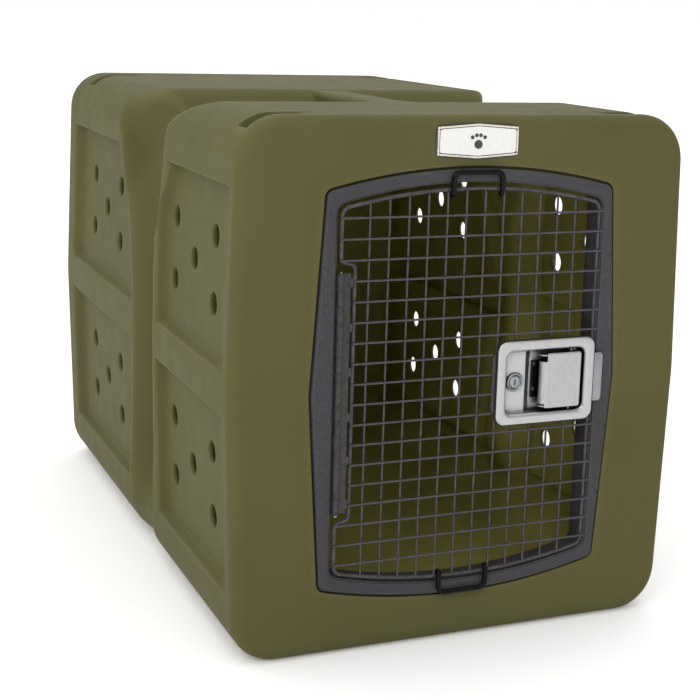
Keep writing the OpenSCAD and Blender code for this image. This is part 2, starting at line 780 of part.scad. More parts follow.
module latch_bolt() {
    color(stainless)
        translate([latch_x, y0, mid_z])
            difference() {
                translate([0, 0, -bolt_half_h])
                    linear_extrude(2 * bolt_half_h)
                        polygon([[bolt_tail, bolt_y[0]], [bolt_nose, bolt_y[0]],
                                 [bolt_nose - bolt_bevel, bolt_y[1]], [bolt_tail, bolt_y[1]]]);
                translate([bolt_slot[0], bolt_y[0] - 1, -arm_slot_half + 1])
                    cube([bolt_slot[1] - bolt_slot[0], bolt_y[1] - bolt_y[0] + 2, 2 * arm_slot_half - 2]);
            }
}

paddle_left = -8.1;
paddle_right = 51.6;
paddle_half_h = 36.2;
paddle_y = [-11, -9.2];
hub_r = 4.5;
hub_half = 5;
arm_half_w = 3;
arm_tip_y = 15;
notch_w = 9.5;
module paddle() {
    color(stainless)
        translate([latch_x, y0, mid_z])
            difference() {
                union() {
                    // Face
                    translate([paddle_left, paddle_y[0], -paddle_half_h])
                        cube([paddle_right - paddle_left, paddle_y[1] - paddle_y[0], 2 * paddle_half_h]);
                    // Lip bent back along the finger edge
                    translate([paddle_left, paddle_y[0], -paddle_half_h])
                        cube([1.8, 6, 2 * paddle_half_h]);
                    // Ears
                    for (s = [-1, 1])
                        translate([paddle_left + notch_w + 4, paddle_y[0], s > 0 ? paddle_half_h - 1.8 : -paddle_half_h])
                            cube([paddle_pin_x + 6 - paddle_left - notch_w - 4, 10.5, 1.8]);
                    // Hub, web and driving arm
                    translate([paddle_pin_x, paddle_pin_y, -hub_half]) cylinder(h = 2 * hub_half, r = hub_r);
                    translate([paddle_pin_x - hub_r, paddle_y[0], -hub_half])
                        cube([2 * hub_r, paddle_pin_y - paddle_y[0], 2 * hub_half]);
                    translate([paddle_pin_x - arm_half_w, paddle_pin_y, -hub_half])
                        cube([2 * arm_half_w, arm_tip_y - paddle_pin_y, 2 * hub_half]);
                }
                // Corner notches beside the lip
                translate([paddle_left - 1, paddle_y[0] - 1, paddle_half_h - 12.5])
                    cube([notch_w + 1, 9, 20]);
                translate([paddle_left - 1, paddle_y[0] - 1, -paddle_half_h - 14])
                    cube([notch_w - 2, 9, 19]);
                translate([paddle_pin_x, paddle_pin_y, -paddle_half_h - 1])
                    cylinder(h = 2 * paddle_half_h + 2, r = paddle_pin_r + 0.06);
            }
}

module paddle_pin() {
    color(dull_steel)
        translate([latch_x + paddle_pin_x, y0 + paddle_pin_y, mid_z - pan_half_h - pan_t])
            cylinder(h = 2 * (pan_half_h + pan_t), r = paddle_pin_r);
}

// Return spring: a coil round the pin, with one leg on the tray and one on the paddle.
coil_r = 3.2;
coil_wire_r = 0.6;
coil_turns = 6;
coil_pitch = 1.8;
coil_from = 9;
coil_steps = 12;
coil_sides = 6;
module paddle_spring() {
    n = coil_turns * coil_steps;
    pts = [for (i = [0:n]) for (j = [0:coil_sides - 1])
        let (a = 360 * i / coil_steps, b = 360 * j / coil_sides, r = coil_r + coil_wire_r * cos(b))
        [r * cos(a), r * sin(a), coil_from + coil_pitch * i / coil_steps + coil_wire_r * sin(b)]];
    skin = [for (i = [0:n - 1]) for (j = [0:coil_sides - 1]) let (k = (j + 1) % coil_sides)
        each [[i * coil_sides + j, (i + 1) * coil_sides + j, (i + 1) * coil_sides + k],
              [i * coil_sides + j, (i + 1) * coil_sides + k, i * coil_sides + k]]];
    color(dull_steel)
        translate([latch_x + paddle_pin_x, y0 + paddle_pin_y, mid_z])
            polyhedron(pts, concat(skin, [[for (j = [0:coil_sides - 1]) j],
                [for (j = [coil_sides - 1:-1:0]) n * coil_sides + j]]));
}

bezel_r = 11.6;
plug_r = 6.3;
plug_fit = 0.05;
lock_front = land_y - 1.8;
barrel_back = 18;
module lock_cylinder() {
    color(stainless)
        difference() {
            union() {
                at_depth([latch_x + lock_x, 0], lock_front) cylinder(h = land_y - lock_front, r1 = bezel_r - 0.8, r2 = bezel_r);
                at_depth([latch_x + lock_x, 0], land_y) cylinder(h = barrel_back - land_y, r = barrel_r);
            }
            at_depth([latch_x + lock_x, 0], lock_front - 1) cylinder(h = barrel_back + 10, r = plug_r + plug_fit);
        }
}

module lock_nut() {
    color(dull_steel)
        at_depth([latch_x + lock_x, 0], land_y + pan_t) difference() {
            cylinder(h = 3, r = 10.2);
            translate([0, 0, -1]) cylinder(h = 5, r = barrel_r + 0.1);
        }
}

cam_half_w = 5;
module lock_plug() {
    color(dull_steel)
        difference() {
            at_depth([latch_x + lock_x, 0], lock_front + 0.4) cylinder(h = barrel_back + 3 - lock_front, r = plug_r);
            // Keyway
            slab(lock_front, 12) translate([latch_x + lock_x, -0.6]) square([1.8, 7.6], center = true);
        }
}

cam_y = barrel_back + 3.4;
module lock_cam() {
    color(dull_steel)
        slab(cam_y, cam_y + 2) translate([latch_x + lock_x, 0]) {
            circle(r = plug_r);
            translate([-cam_half_w, 0]) square([2 * cam_half_w, 14]);
        }
}

shell();
carry_bridge();
door_frame();
frame_retainer();
frame_screws();
badge_plate();
badge_face();
badge_emblem();
strike_plate();
hinge_frame_leaf();
hinge_pin();
hinge_rivets();
hinge_door_leaf();
hinge_welds();
door_rim();
wires_vertical();
wires_horizontal();
stop_loop_top();
stop_loop_bottom();
latch_bracket();
latch_gasket();
latch_tray();
latch_studs();
latch_nuts();
stop_plate();
well_plate();
well_rivets();
bolt_housing();
latch_bolt();
paddle();
paddle_pin();
paddle_spring();
lock_cylinder();
lock_nut();
lock_plug();
lock_cam();
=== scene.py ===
"""Looks of the pet transport carrier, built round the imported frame.

Lengths are in millimetres in the part's own layout: x to the right, y back from the shell's
front face, z up from the shell's mid height. place() turns them into the frame's metres.
The floor, the lights and the camera are in the frame's metres from the start.
"""
import json
import math

import bmesh
import bpy
import numpy as np
from mathutils import Matrix, Vector

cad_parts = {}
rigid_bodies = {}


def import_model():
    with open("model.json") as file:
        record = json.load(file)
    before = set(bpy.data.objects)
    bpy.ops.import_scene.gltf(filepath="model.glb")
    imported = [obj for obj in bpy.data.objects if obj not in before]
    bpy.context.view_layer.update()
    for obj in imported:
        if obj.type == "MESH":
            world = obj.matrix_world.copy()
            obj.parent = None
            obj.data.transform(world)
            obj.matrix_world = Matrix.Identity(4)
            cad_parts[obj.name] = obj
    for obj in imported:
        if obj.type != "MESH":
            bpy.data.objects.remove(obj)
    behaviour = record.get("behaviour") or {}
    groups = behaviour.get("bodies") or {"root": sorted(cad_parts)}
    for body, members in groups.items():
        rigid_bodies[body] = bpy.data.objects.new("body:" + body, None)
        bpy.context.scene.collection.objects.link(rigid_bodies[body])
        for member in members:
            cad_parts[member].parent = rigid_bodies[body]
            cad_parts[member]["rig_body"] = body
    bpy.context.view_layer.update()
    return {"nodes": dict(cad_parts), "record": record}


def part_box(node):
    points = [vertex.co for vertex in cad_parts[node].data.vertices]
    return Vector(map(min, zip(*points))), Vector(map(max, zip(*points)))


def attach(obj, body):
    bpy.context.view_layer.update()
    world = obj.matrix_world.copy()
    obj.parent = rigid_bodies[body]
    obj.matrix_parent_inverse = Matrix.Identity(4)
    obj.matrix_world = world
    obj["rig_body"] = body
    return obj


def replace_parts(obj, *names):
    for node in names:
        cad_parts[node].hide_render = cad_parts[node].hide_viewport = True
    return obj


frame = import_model()
MM = 0.001

# ------------------------------------------------------------------ sizes from the frame

shell_low, shell_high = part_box("shell")
FRONT_Y = shell_low.y
MID_Z = (shell_low.z + shell_high.z) / 2
HALF_W = (shell_high.x - shell_low.x) / 2 / MM
HALF_H = (shell_high.z - shell_low.z) / 2 / MM
LENGTH = (shell_high.y - shell_low.y) / MM
latch_low, latch_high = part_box("latch_tray")
LATCH_X = (latch_low.x + latch_high.x) / 2 / MM


def place(points):
    """Layout millimetres to frame metres."""
    p = np.asarray(points, float).reshape(-1, 3) * MM
    return p + np.array([0.0, FRONT_Y, MID_Z])


def smooth(t):
    t = np.clip(t, 0.0, 1.0)
    return t * t * (3 - 2 * t)


def add_mesh(name, points, faces, body, material, slot, sharp=None, kinds=None):
    """A piece from layout points and faces, with outward normals and smooth shading.

    kinds is each face's place in the list of materials, where there are several."""
    mesh = bpy.data.meshes.new(name)
    mesh.from_pydata(place(points).tolist(), [], faces)
    if kinds:
        mesh.polygons.foreach_set("material_index", kinds)
    bm = bmesh.new()
    bm.from_mesh(mesh)
    bmesh.ops.remove_doubles(bm, verts=bm.verts, dist=1e-6)
    bmesh.ops.recalc_face_normals(bm, faces=bm.faces)
    bm.to_mesh(mesh)
    bm.free()
    mesh.shade_smooth()
    if sharp:
        mesh.set_sharp_from_angle(angle=math.radians(sharp))
    piece = bpy.data.objects.new(name, mesh)
    bpy.context.scene.collection.objects.link(piece)
    mesh.materials.append(material)
    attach(piece, body)
    return piece


# ------------------------------------------------------------------ materials


class Shader:
    """A short way to write a node material."""

    def __init__(self, name):
        self.material = bpy.data.materials.new(name)
        self.material.use_nodes = True
        self.tree = self.material.node_tree
        self.bsdf = self.tree.nodes["Principled BSDF"]
        self.coords = self.add("ShaderNodeTexCoord").outputs["Object"]

    def add(self, kind, **sockets):
        node = self.tree.nodes.new(kind)
        for key, value in sockets.items():
            node.inputs[key.replace("_", " ")].default_value = value
        return node

    def link(self, a, b):
        self.tree.links.new(a, b)

    def noise(self, scale, detail=3.0, stretch=(1, 1, 1), roughness=0.5):
        """Noise with features of about 1 / scale metres."""
        mapping = self.add("ShaderNodeMapping")
        mapping.inputs["Scale"].default_value = stretch
        self.link(self.coords, mapping.inputs["Vector"])
        node = self.add("ShaderNodeTexNoise", Scale=scale, Detail=detail, Roughness=roughness)
        self.link(mapping.outputs["Vector"], node.inputs["Vector"])
        return node.outputs["Fac"]

    def ramp(self, source, low, high, start=0.0, end=1.0):
        node = self.add("ShaderNodeMapRange")
        node.inputs["From Min"].default_value = start
        node.inputs["From Max"].default_value = end
        node.inputs["To Min"].default_value = low
        node.inputs["To Max"].default_value = high
        self.link(source, node.inputs["Value"])
        return node.outputs["Result"]

    def mix(self, factor, a, b):
        node = self.tree.nodes.new("ShaderNodeMix")
        node.data_type = "RGBA"
        self.link(factor, node.inputs["Factor"])
        for value, socket in ((a, node.inputs["A"]), (b, node.inputs["B"])):
            if isinstance(value, tuple):
                socket.default_value = value
            else:
                self.link(value, socket)
        return node.outputs["Result"]

    def bump(self, height, strength, distance):
        """Roughen the surface by a height, distance millimetres deep."""
        node = self.add("ShaderNodeBump", Strength=strength, Distance=distance * MM)
        self.link(height, node.inputs["Height"])
        self.link(node.outputs["Normal"], self.bsdf.inputs["Normal"])

    def edges(self, start=0.52, end=0.6):
        """Near 1 on outside edges."""
        pointy = self.add("ShaderNodeNewGeometry").outputs["Pointiness"]
        return self.ramp(pointy, 0.0, 1.0, start, end)


def srgb(r, g, b):
    """A colour from 0-255 display values."""
    def linear(c):
        c /= 255
        return c / 12.92 if c <= 0.04045 else ((c + 0.055) / 1.055) ** 2.4
    return (linear(r), linear(g), linear(b), 1.0)


def moulded_plastic(name, base, light, dark, grain, grain_depth, rough, edge=0.35, speckle=0.05):
    """Plastic with a moulded grain of about 1 / grain metres, with edge wear and a painted highlight on its
    edges.
    """
    s = Shader(name)
    blotch = s.ramp(s.noise(5, 3), 0.0, 1.0, 0.3, 0.7)
    colour = s.mix(blotch, dark, base)
    speck = s.ramp(s.noise(grain, 2), 0.0, speckle, 0.45, 0.75)
    colour = s.mix(speck, colour, light)
    # Lighter on the edges: partly wear, partly a painted highlight.
    edge_wear_and_highlight = s.ramp(s.edges(), 0.0, edge)
    colour = s.mix(edge_wear_and_highlight, colour, light)
    s.link(colour, s.bsdf.inputs["Base Color"])
    s.link(s.ramp(s.noise(30, 4), rough - 0.05, rough + 0.05, 0.3, 0.7), s.bsdf.inputs["Roughness"])
    s.bsdf.inputs["Specular IOR Level"].default_value = 0.04
    s.bump(s.noise(grain, 3), 0.3, grain_depth)
    return s.material


def coated_metal(name, base, light, rough, coat=0.0, shine=0.5):
    """Painted or powder-coated metal, with a painted highlight on its edges."""
    s = Shader(name)
    colour = s.mix(s.ramp(s.noise(160, 4), 0.0, 1.0, 0.35, 0.7), base, light)
    # Painted highlight: lighter on the edges.
    colour = s.mix(s.ramp(s.edges(0.53, 0.62), 0.0, 0.4), colour, light)
    s.link(colour, s.bsdf.inputs["Base Color"])
    s.link(s.ramp(s.noise(320, 3), rough - 0.05, rough + 0.08, 0.3, 0.7), s.bsdf.inputs["Roughness"])
    s.bsdf.inputs["Coat Weight"].default_value = coat
    s.bsdf.inputs["Specular IOR Level"].default_value = shine
    s.bump(s.noise(1300, 2), 0.15, 0.06)
    return s.material


def brushed_metal(name, base, light, rough, stretch, strength=0.12):
    """Steel with fine scratches that run along the small numbers of stretch, with painted shade in its
    hollows.
    """
    s = Shader(name)
    lines = s.noise(1, 5, stretch, 0.65)
    colour = s.mix(s.ramp(lines, 0.0, 1.0, 0.35, 0.65), base, light)
    # Painted shade: darker where nearby surfaces close the steel in.
    painted_shade_reach, painted_shade_colour = 14 * MM, srgb(44, 44, 45)
    openness = s.add("ShaderNodeAmbientOcclusion", Distance=painted_shade_reach).outputs["AO"]
    colour = s.mix(s.ramp(openness, 1.0, 0.0, 0.35, 0.95), colour, painted_shade_colour)
    s.link(colour, s.bsdf.inputs["Base Color"])
    s.bsdf.inputs["Metallic"].default_value = 1.0
    s.link(s.ramp(lines, rough + 0.08, rough - 0.06, 0.3, 0.7), s.bsdf.inputs["Roughness"])
    s.bump(lines, strength, 0.04)
    return s.material


def rubber(name, base, light):
    """Dull rubber with a fine grain."""
    s = Shader(name)
    s.link(s.mix(s.noise(300, 3), base, light), s.bsdf.inputs["Base Color"])
    s.bsdf.inputs["Roughness"].default_value = 0.75
    s.bump(s.noise(1100, 2), 0.3, 0.08)
    return s.material


OLIVE = moulded_plastic("olive_plastic", srgb(86, 84, 52), srgb(136, 133, 98), srgb(82, 80, 49),
                        800, 0.05, 0.55, 0.6, 0.04)
# The same plastic painted lighter inside: painted light, so that the cabin can be seen behind the door.
OLIVE_INSIDE_LIT = moulded_plastic("olive_inside_lit", srgb(166, 162, 92), srgb(176, 172, 106), srgb(158, 154, 86),
                               800, 0.05, 0.6)
FRAME = moulded_plastic("frame_plastic", srgb(66, 66, 68), srgb(124, 124, 126), srgb(60, 60, 62),
                        520, 0.3, 0.5, 0.25, 0.14)
COATED = coated_metal("wire_coat", srgb(47, 44, 47), srgb(74, 69, 72), 0.42, 0.0, 0.35)
HINGE = coated_metal("hinge_coat", srgb(38, 38, 39), srgb(60, 60, 62), 0.42, 0.0, 0.3)
GLOSS = coated_metal("gloss_black", srgb(6, 6, 8), srgb(12, 12, 14), 0.12, 0.0, 0.12)
STEEL = brushed_metal("stainless", srgb(163, 163, 164), srgb(176, 176, 177), 0.34,
                      (1500, 1500, 90), 0.05)
STEEL_FACE = brushed_metal("stainless_plate", srgb(170, 170, 171), srgb(184, 184, 185), 0.36,
                           (90, 1500, 1500), 0.06)
STOP = brushed_metal("stainless_stop", srgb(138, 138, 139), srgb(152, 152, 153), 0.4,
                     (1500, 1500, 90), 0.06)
PLATED = brushed_metal("plated_steel", srgb(128, 130, 132), srgb(166, 168, 170), 0.35, (800, 800, 800))
GASKET = rubber("gasket_rubber", srgb(12, 12, 12), srgb(24, 24, 24))
BORDER = coated_metal("badge_border", srgb(204, 200, 184), srgb(216, 212, 198), 0.4, 0.2)
WHITE = coated_metal("badge_white", srgb(215, 215, 212), srgb(219, 219, 217), 0.3, 0.3)
# Dark print on the badge; also the painted shadow round the badge's rim.
MARK_AND_PAINTED_SHADOW = coated_metal("badge_mark", srgb(26, 26, 26), srgb(44, 44, 44), 0.35, 0.3)

SLOT_MATERIALS = {
    "olive_plastic": OLIVE, "frame_plastic": FRAME, "wire_coat": COATED, "gloss_black": GLOSS,
    "stainless": STEEL, "plated_steel": PLATED, "gasket_rubber": GASKET,
    "badge_border": BORDER, "badge_white": WHITE, "badge_mark": MARK_AND_PAINTED_SHADOW,
}
for row in frame["record"]["subparts"]:
    node = frame["nodes"][row["node"]]
    node.data.materials.clear()
    node.data.materials.append(SLOT_MATERIALS[row["material_slot"]])
for name in ("hinge_frame_leaf", "hinge_door_leaf", "latch_bracket", "well_rivets"):
    frame["nodes"][name].data.materials[0] = HINGE

# ------------------------------------------------------------------ shell: side surface

CORNER_R = 58.0
DRAFT = 0.03
LEAN = math.atan(DRAFT)
CORNER_Z = HALF_H - CORNER_R
CORNER_X = HALF_W - DRAFT * CORNER_Z - CORNER_R * math.hypot(1, DRAFT)
SIDE_END = CORNER_Z + CORNER_R * math.sin(LEAN)
WALL = 6.0
FRONT_WALL = 12.0
SIDE_GROOVE = 34.0
ROOF_GROOVE = 56.0
PANEL_DEPTH = 13.0
BELT_ROUND = 8.0

# Rims of the waist groove and edges of the side panels, each as heights and depths.
GROOVE_FRONT = ([-300, -220, -150, 0, 150, 229, 263, 300], [382, 377, 367, 357, 364, 338, 326, 322])
GROOVE_BACK = ([-300, -233, -160, 0, 160, 216, 250, 300], [516, 511, 502, 470, 502, 529, 554, 590])
FRONT_PANEL_EDGE = ([-260, -60, 0, 150, 190, 224, 252], [353, 351, 346, 351, 344, 313, 303])
BACK_PANEL_EDGE = ([-252, -208, -162, -75, 63, 90, 133, 186, 252],
                   [524, 513, 501, 485, 483, 496, 512, 536, 584])
FRONT_FLANK = 44.0
BACK_FLANK = 62.0


def along(curve, z):
    """A rim's depth at height z, rounded where its stretches meet."""
    spread = 9.0
    return sum(np.interp(z + d, *curve) for d in (-spread, 0.0, spread)) / 3


def groove_open(y, z):
    """How far the waist groove is open, from 0 on the flat to 1 on its floor."""
    return (smooth((y - along(GROOVE_FRONT, z)) / FRONT_FLANK)
            * smooth((along(GROOVE_BACK, z) - y) / BACK_FLANK))


# On the roof the groove is wider and its rims are softer than on the sides.
ROOF_FRONT, ROOF_FRONT_FLANK = 234.0, 120.0
ROOF_BACK, ROOF_BACK_FLANK = 512.0, 90.0


def top_open(y, angle):
    """How far the groove is open along the upper corner, from its side end to the roof."""
    share = smooth((angle - 0.3) / (math.pi / 2 - 0.3))

    def between(side, roof):
        return side + (roof - side) * share

    front = between(along(GROOVE_FRONT, 300.0), ROOF_FRONT)
    back = between(along(GROOVE_BACK, 300.0), ROOF_BACK)
    return (smooth((y - front) / between(FRONT_FLANK, ROOF_FRONT_FLANK))
            * smooth((back - y) / between(BACK_FLANK, ROOF_BACK_FLANK)))


GROOVE_END, GROOVE_RUNOUT = -312.0, 110.0


def groove_fade(z):
    """How deep the groove is at height z, from 0 below its lower end to 1."""
    return smooth((z - GROOVE_END) / GROOVE_RUNOUT)


# The panels: their heights, ends, and how wide the slopes round them are.
UPPER_PANEL, LOWER_PANEL = (26.0, 252.0), (-253.0, -24.0)
PANEL_FOOT, PANEL_HEAD = 10.0, 3.5
PANEL_FRONT, PANEL_FRONT_SLOPE = 14.0, 70.0
PANEL_BACK, PANEL_BACK_SLOPE = 902.0, 20.0
WAIST_FRONT_SLOPE, WAIST_BACK_SLOPE = 14.0, 17.0


def panel_depth(y, z):
    """Depth of the recessed panels at y back and z up."""
    def box(z_low, z_high):
        rise = smooth((z - z_low) / PANEL_FOOT) * smooth((z_high - z) / PANEL_HEAD)
        front = (smooth((y - PANEL_FRONT) / PANEL_FRONT_SLOPE)
                 * smooth((along(FRONT_PANEL_EDGE, z) - y) / WAIST_FRONT_SLOPE))
        back = (smooth((y - along(BACK_PANEL_EDGE, z)) / WAIST_BACK_SLOPE)
                * smooth((PANEL_BACK - y) / PANEL_BACK_SLOPE))
        return rise * (front + back)
    return PANEL_DEPTH * (box(*UPPER_PANEL) + box(*LOWER_PANEL))


def side_x(y, z, z_flat, inset):
    """Half width at y and z. z_flat is the height before the roof groove pulls it down."""
    bow = DRAFT * (np.sqrt(z_flat ** 2 + BELT_ROUND ** 2) - BELT_ROUND)
    groove = SIDE_GROOVE * groove_open(y, z_flat) * groove_fade(z_flat)
    return HALF_W - bow - inset * math.hypot(1, DRAFT) - groove - panel_depth(y, z)


# ------------------------------------------------------------------ shell: grid lines

VENT_R = 14.0
VENT_PATCH = 21.0
VENT_CELLS = 8
VENT_DY = 89.0
VENT_DZ = 42.5
VENT_ROW = 137.5
VENT_COLUMNS = (209.0, 706.0)
vent_places = [(yc + a * VENT_DY, zc + b * VENT_DZ)
               for yc in VENT_COLUMNS for zc in (-VENT_ROW, VENT_ROW)
               for a, b in ((0, 0), (-1, -1), (-1, 1), (1, -1), (1, 1))]


def grid_lines(low, high, centres, fine, step):
    """Lines from low to high: exact round each vent, close where fine says, step elsewhere."""
    marks = {low, high}
    for c in centres:
        marks |= {c - VENT_PATCH, c + VENT_PATCH}
    for a, b, _ in fine:
        marks |= {a, b}
    marks = sorted(m for m in marks if low <= m <= high)
    lines = [low]
    for a, b in zip(marks, marks[1:]):
        middle = (a + b) / 2
        if any(abs(middle - c) < VENT_PATCH for c in centres):
            cells = VENT_CELLS
            inside = [c for c in centres if abs(middle - c) < VENT_PATCH][0]
            a, b = max(a, inside - VENT_PATCH), min(b, inside + VENT_PATCH)
            if b - a < 2 * VENT_PATCH - 0.1:
                raise ValueError("a fine stretch cuts through a vent")
        else:
            close = [s for lo, hi, s in fine if lo <= middle <= hi]
            cells = max(1, math.ceil((b - a) / min(close + [step])))
        lines += [a + (b - a) * k / cells for k in range(1, cells + 1)]
    return np.array(lines)


columns = sorted({y for y, _ in vent_places})
rows = sorted({z for _, z in vent_places})
SIDE_Z = grid_lines(-SIDE_END, SIDE_END, rows, [
    (244, 255, 1.5), (-30, -21, 1.5), (-12, 12, 4), (24, 39, 2.5), (-255, -241, 2.5)], 7.0)
STRAP_FRONT = 46.0
STRAP_BACK = 862.0
STRAP_Y = (STRAP_FRONT, STRAP_BACK)
STRAP_HALF = 17.0
FRONT_ROUND = 18.0
BACK_ROUND = 32.0
STATIONS = grid_lines(FRONT_ROUND, LENGTH - BACK_ROUND, columns, [
    (FRONT_ROUND, 70, 2.5), (324, 425, 4.5), (425, 590, 5.5),
    (STRAP_BACK - 23, STRAP_BACK + 23, 2.5), (STRAP_BACK + 23, 939, 5)], 8.0)

# ------------------------------------------------------------------ shell: sections

CORNER_STEPS = 12
ROOF_STEPS = 12
corner_angles = np.linspace(LEAN, math.pi / 2, CORNER_STEPS + 1)[1:]
roof_shares = np.linspace(1, 0, ROOF_STEPS + 1)[1:]

STRAP_START = math.radians(47)
STRAP_DEPTH = 12.5
STRAP_END_X = 200.0
STRAP_EDGE = 3.0
strap_reach = CORNER_R * (math.pi / 2 - STRAP_START) + CORNER_X - STRAP_END_X


def strap_slot(y, u):
    """Depth of the strap slots at distance u along the corner from their lower end."""
    window = sum(smooth((STRAP_HALF - abs(y - c)) / STRAP_EDGE) for c in STRAP_Y)
    taper = np.clip(1 - u / strap_reach, 0, 1) ** 0.8
    return STRAP_DEPTH * window * smooth(u / 5 + 0.2) * taper * (u > -1)


def section(y, inset):
    """The right half of the shell's outline at y, from the bottom's middle to the roof's."""
    side_drop = ROOF_GROOVE * top_open(y, 0.0)
    low_in = SIDE_GROOVE * groove_open(y, -SIDE_END) * groove_fade(-SIDE_END)
    r = CORNER_R - inset

    floor_x = np.concatenate([[0.0], 1 - roof_shares[:-1]]) * (CORNER_X - low_in)
    floor = np.stack([floor_x, np.full_like(floor_x, -HALF_H + inset)], 1)
    low_a = corner_angles[::-1]
    low = np.stack([CORNER_X - low_in + r * np.cos(low_a), -CORNER_Z - r * np.sin(low_a)], 1)

    pull = smooth((SIDE_Z - 90) / (SIDE_END - 90))
    z = SIDE_Z - side_drop * pull
    side = np.stack([side_x(y, z, SIDE_Z, inset), z], 1)

    u = CORNER_R * (corner_angles - STRAP_START)
    r_slot = r - strap_slot(y, u)
    opened = top_open(y, corner_angles)
    high = np.stack([CORNER_X - SIDE_GROOVE * opened + r_slot * np.cos(corner_angles),
                     CORNER_Z - ROOF_GROOVE * opened + r_slot * np.sin(corner_angles)], 1)
    roof_x = roof_shares * CORNER_X
    u = CORNER_R * (math.pi / 2 - STRAP_START) + CORNER_X - roof_x
    opened = top_open(y, math.pi / 2)
    roof = np.stack([roof_shares * (CORNER_X - SIDE_GROOVE * opened),
                     HALF_H - ROOF_GROOVE * opened - inset - strap_slot(y, u)], 1)
    return np.concatenate([floor, low, side, high, roof])


SIDE_START = ROOF_STEPS + CORNER_STEPS
HALF_COUNT = len(section(100.0, 0.0))
RING = 2 * HALF_COUNT - 2


def whole_ring(half, y):
    """Both halves of an outline, as points at depth y."""
    left = half[-2:0:-1] * [-1, 1]
    xz = np.concatenate([half, left])
    return np.column_stack([xz[:, 0], np.full(len(xz), float(y)), xz[:, 1]])


# ------------------------------------------------------------------ outlines with bowed ends


def bowed(w_mid, w_end, apex, bow, rc, side, corner, arc, end_z=245.0):
    """The right half of an outline with straight sides and a bowed top and bottom.

    side, corner and arc are shares from 0 to 1 along each stretch above mid height."""
    m = (w_end - w_mid) / end_z
    s = math.hypot(1, m)
    zc = apex - bow
    a = w_mid - rc * s
    qa, qb, qc = 1 + m * m, 2 * (a * m - zc), a * a + zc * zc - (bow - rc) ** 2
    cz = (-qb + math.sqrt(qb * qb - 4 * qa * qc)) / (2 * qa)
    cx = a + m * cz
    t0, t1 = math.atan2(-m, 1), math.atan2(cz - zc, cx)
    start = np.array([cx + rc * math.cos(t0), cz + rc * math.sin(t0)])
    up = np.array([w_mid, 0.0]) + np.outer(side, start - [w_mid, 0.0])
    ang = t0 + (t1 - t0) * corner
    bend = np.stack([cx + rc * np.cos(ang), cz + rc * np.sin(ang)], 1)
    ang = t1 + (math.pi / 2 - t1) * arc
    top = np.stack([bow * np.cos(ang), zc + bow * np.sin(ang)], 1)
    upper = np.concatenate([up, bend, top])
    lower = (upper * [1, -1])[::-1]
    return np.concatenate([lower[:-1] if side[0] == 0 else lower, upper])


# The frame's outlines: half widths in the middle and at the ends, apex, bow and corner radii.
FLANGE = (208.5, 193.0, 272.0, 757.0, 10.0)
DOORWAY = (180.0, 180.0, 255.5, 672.0, 12.0)


def grown(outline, d):
    w, e, apex, bow, r = outline
    return (w + d, e + d, apex + d, bow + d, r + d)


def on_shell(outline):
    """A bowed outline with as many points as the shell's section, stretch by stretch."""
    side = SIDE_Z / SIDE_END
    up = side[side > 1e-9]
    down = -side[side < -1e-9][::-1]
    corner = np.linspace(0, 1, CORNER_STEPS + 1)[1:]
    arc = 1 - roof_shares
    middle = [0.0] if len(up) + len(down) < len(side) else []
    high = bowed(*outline, np.array(middle + list(up)), corner, arc)
    low = bowed(*outline, np.array(middle + list(down)), corner, arc)
    n_low = len(down) + len(corner) + len(arc)
    n_high = len(middle) + len(up) + len(corner) + len(arc)
    return np.concatenate([low[:n_low], high[len(high) - n_high:]])


# ------------------------------------------------------------------ shell: assembly


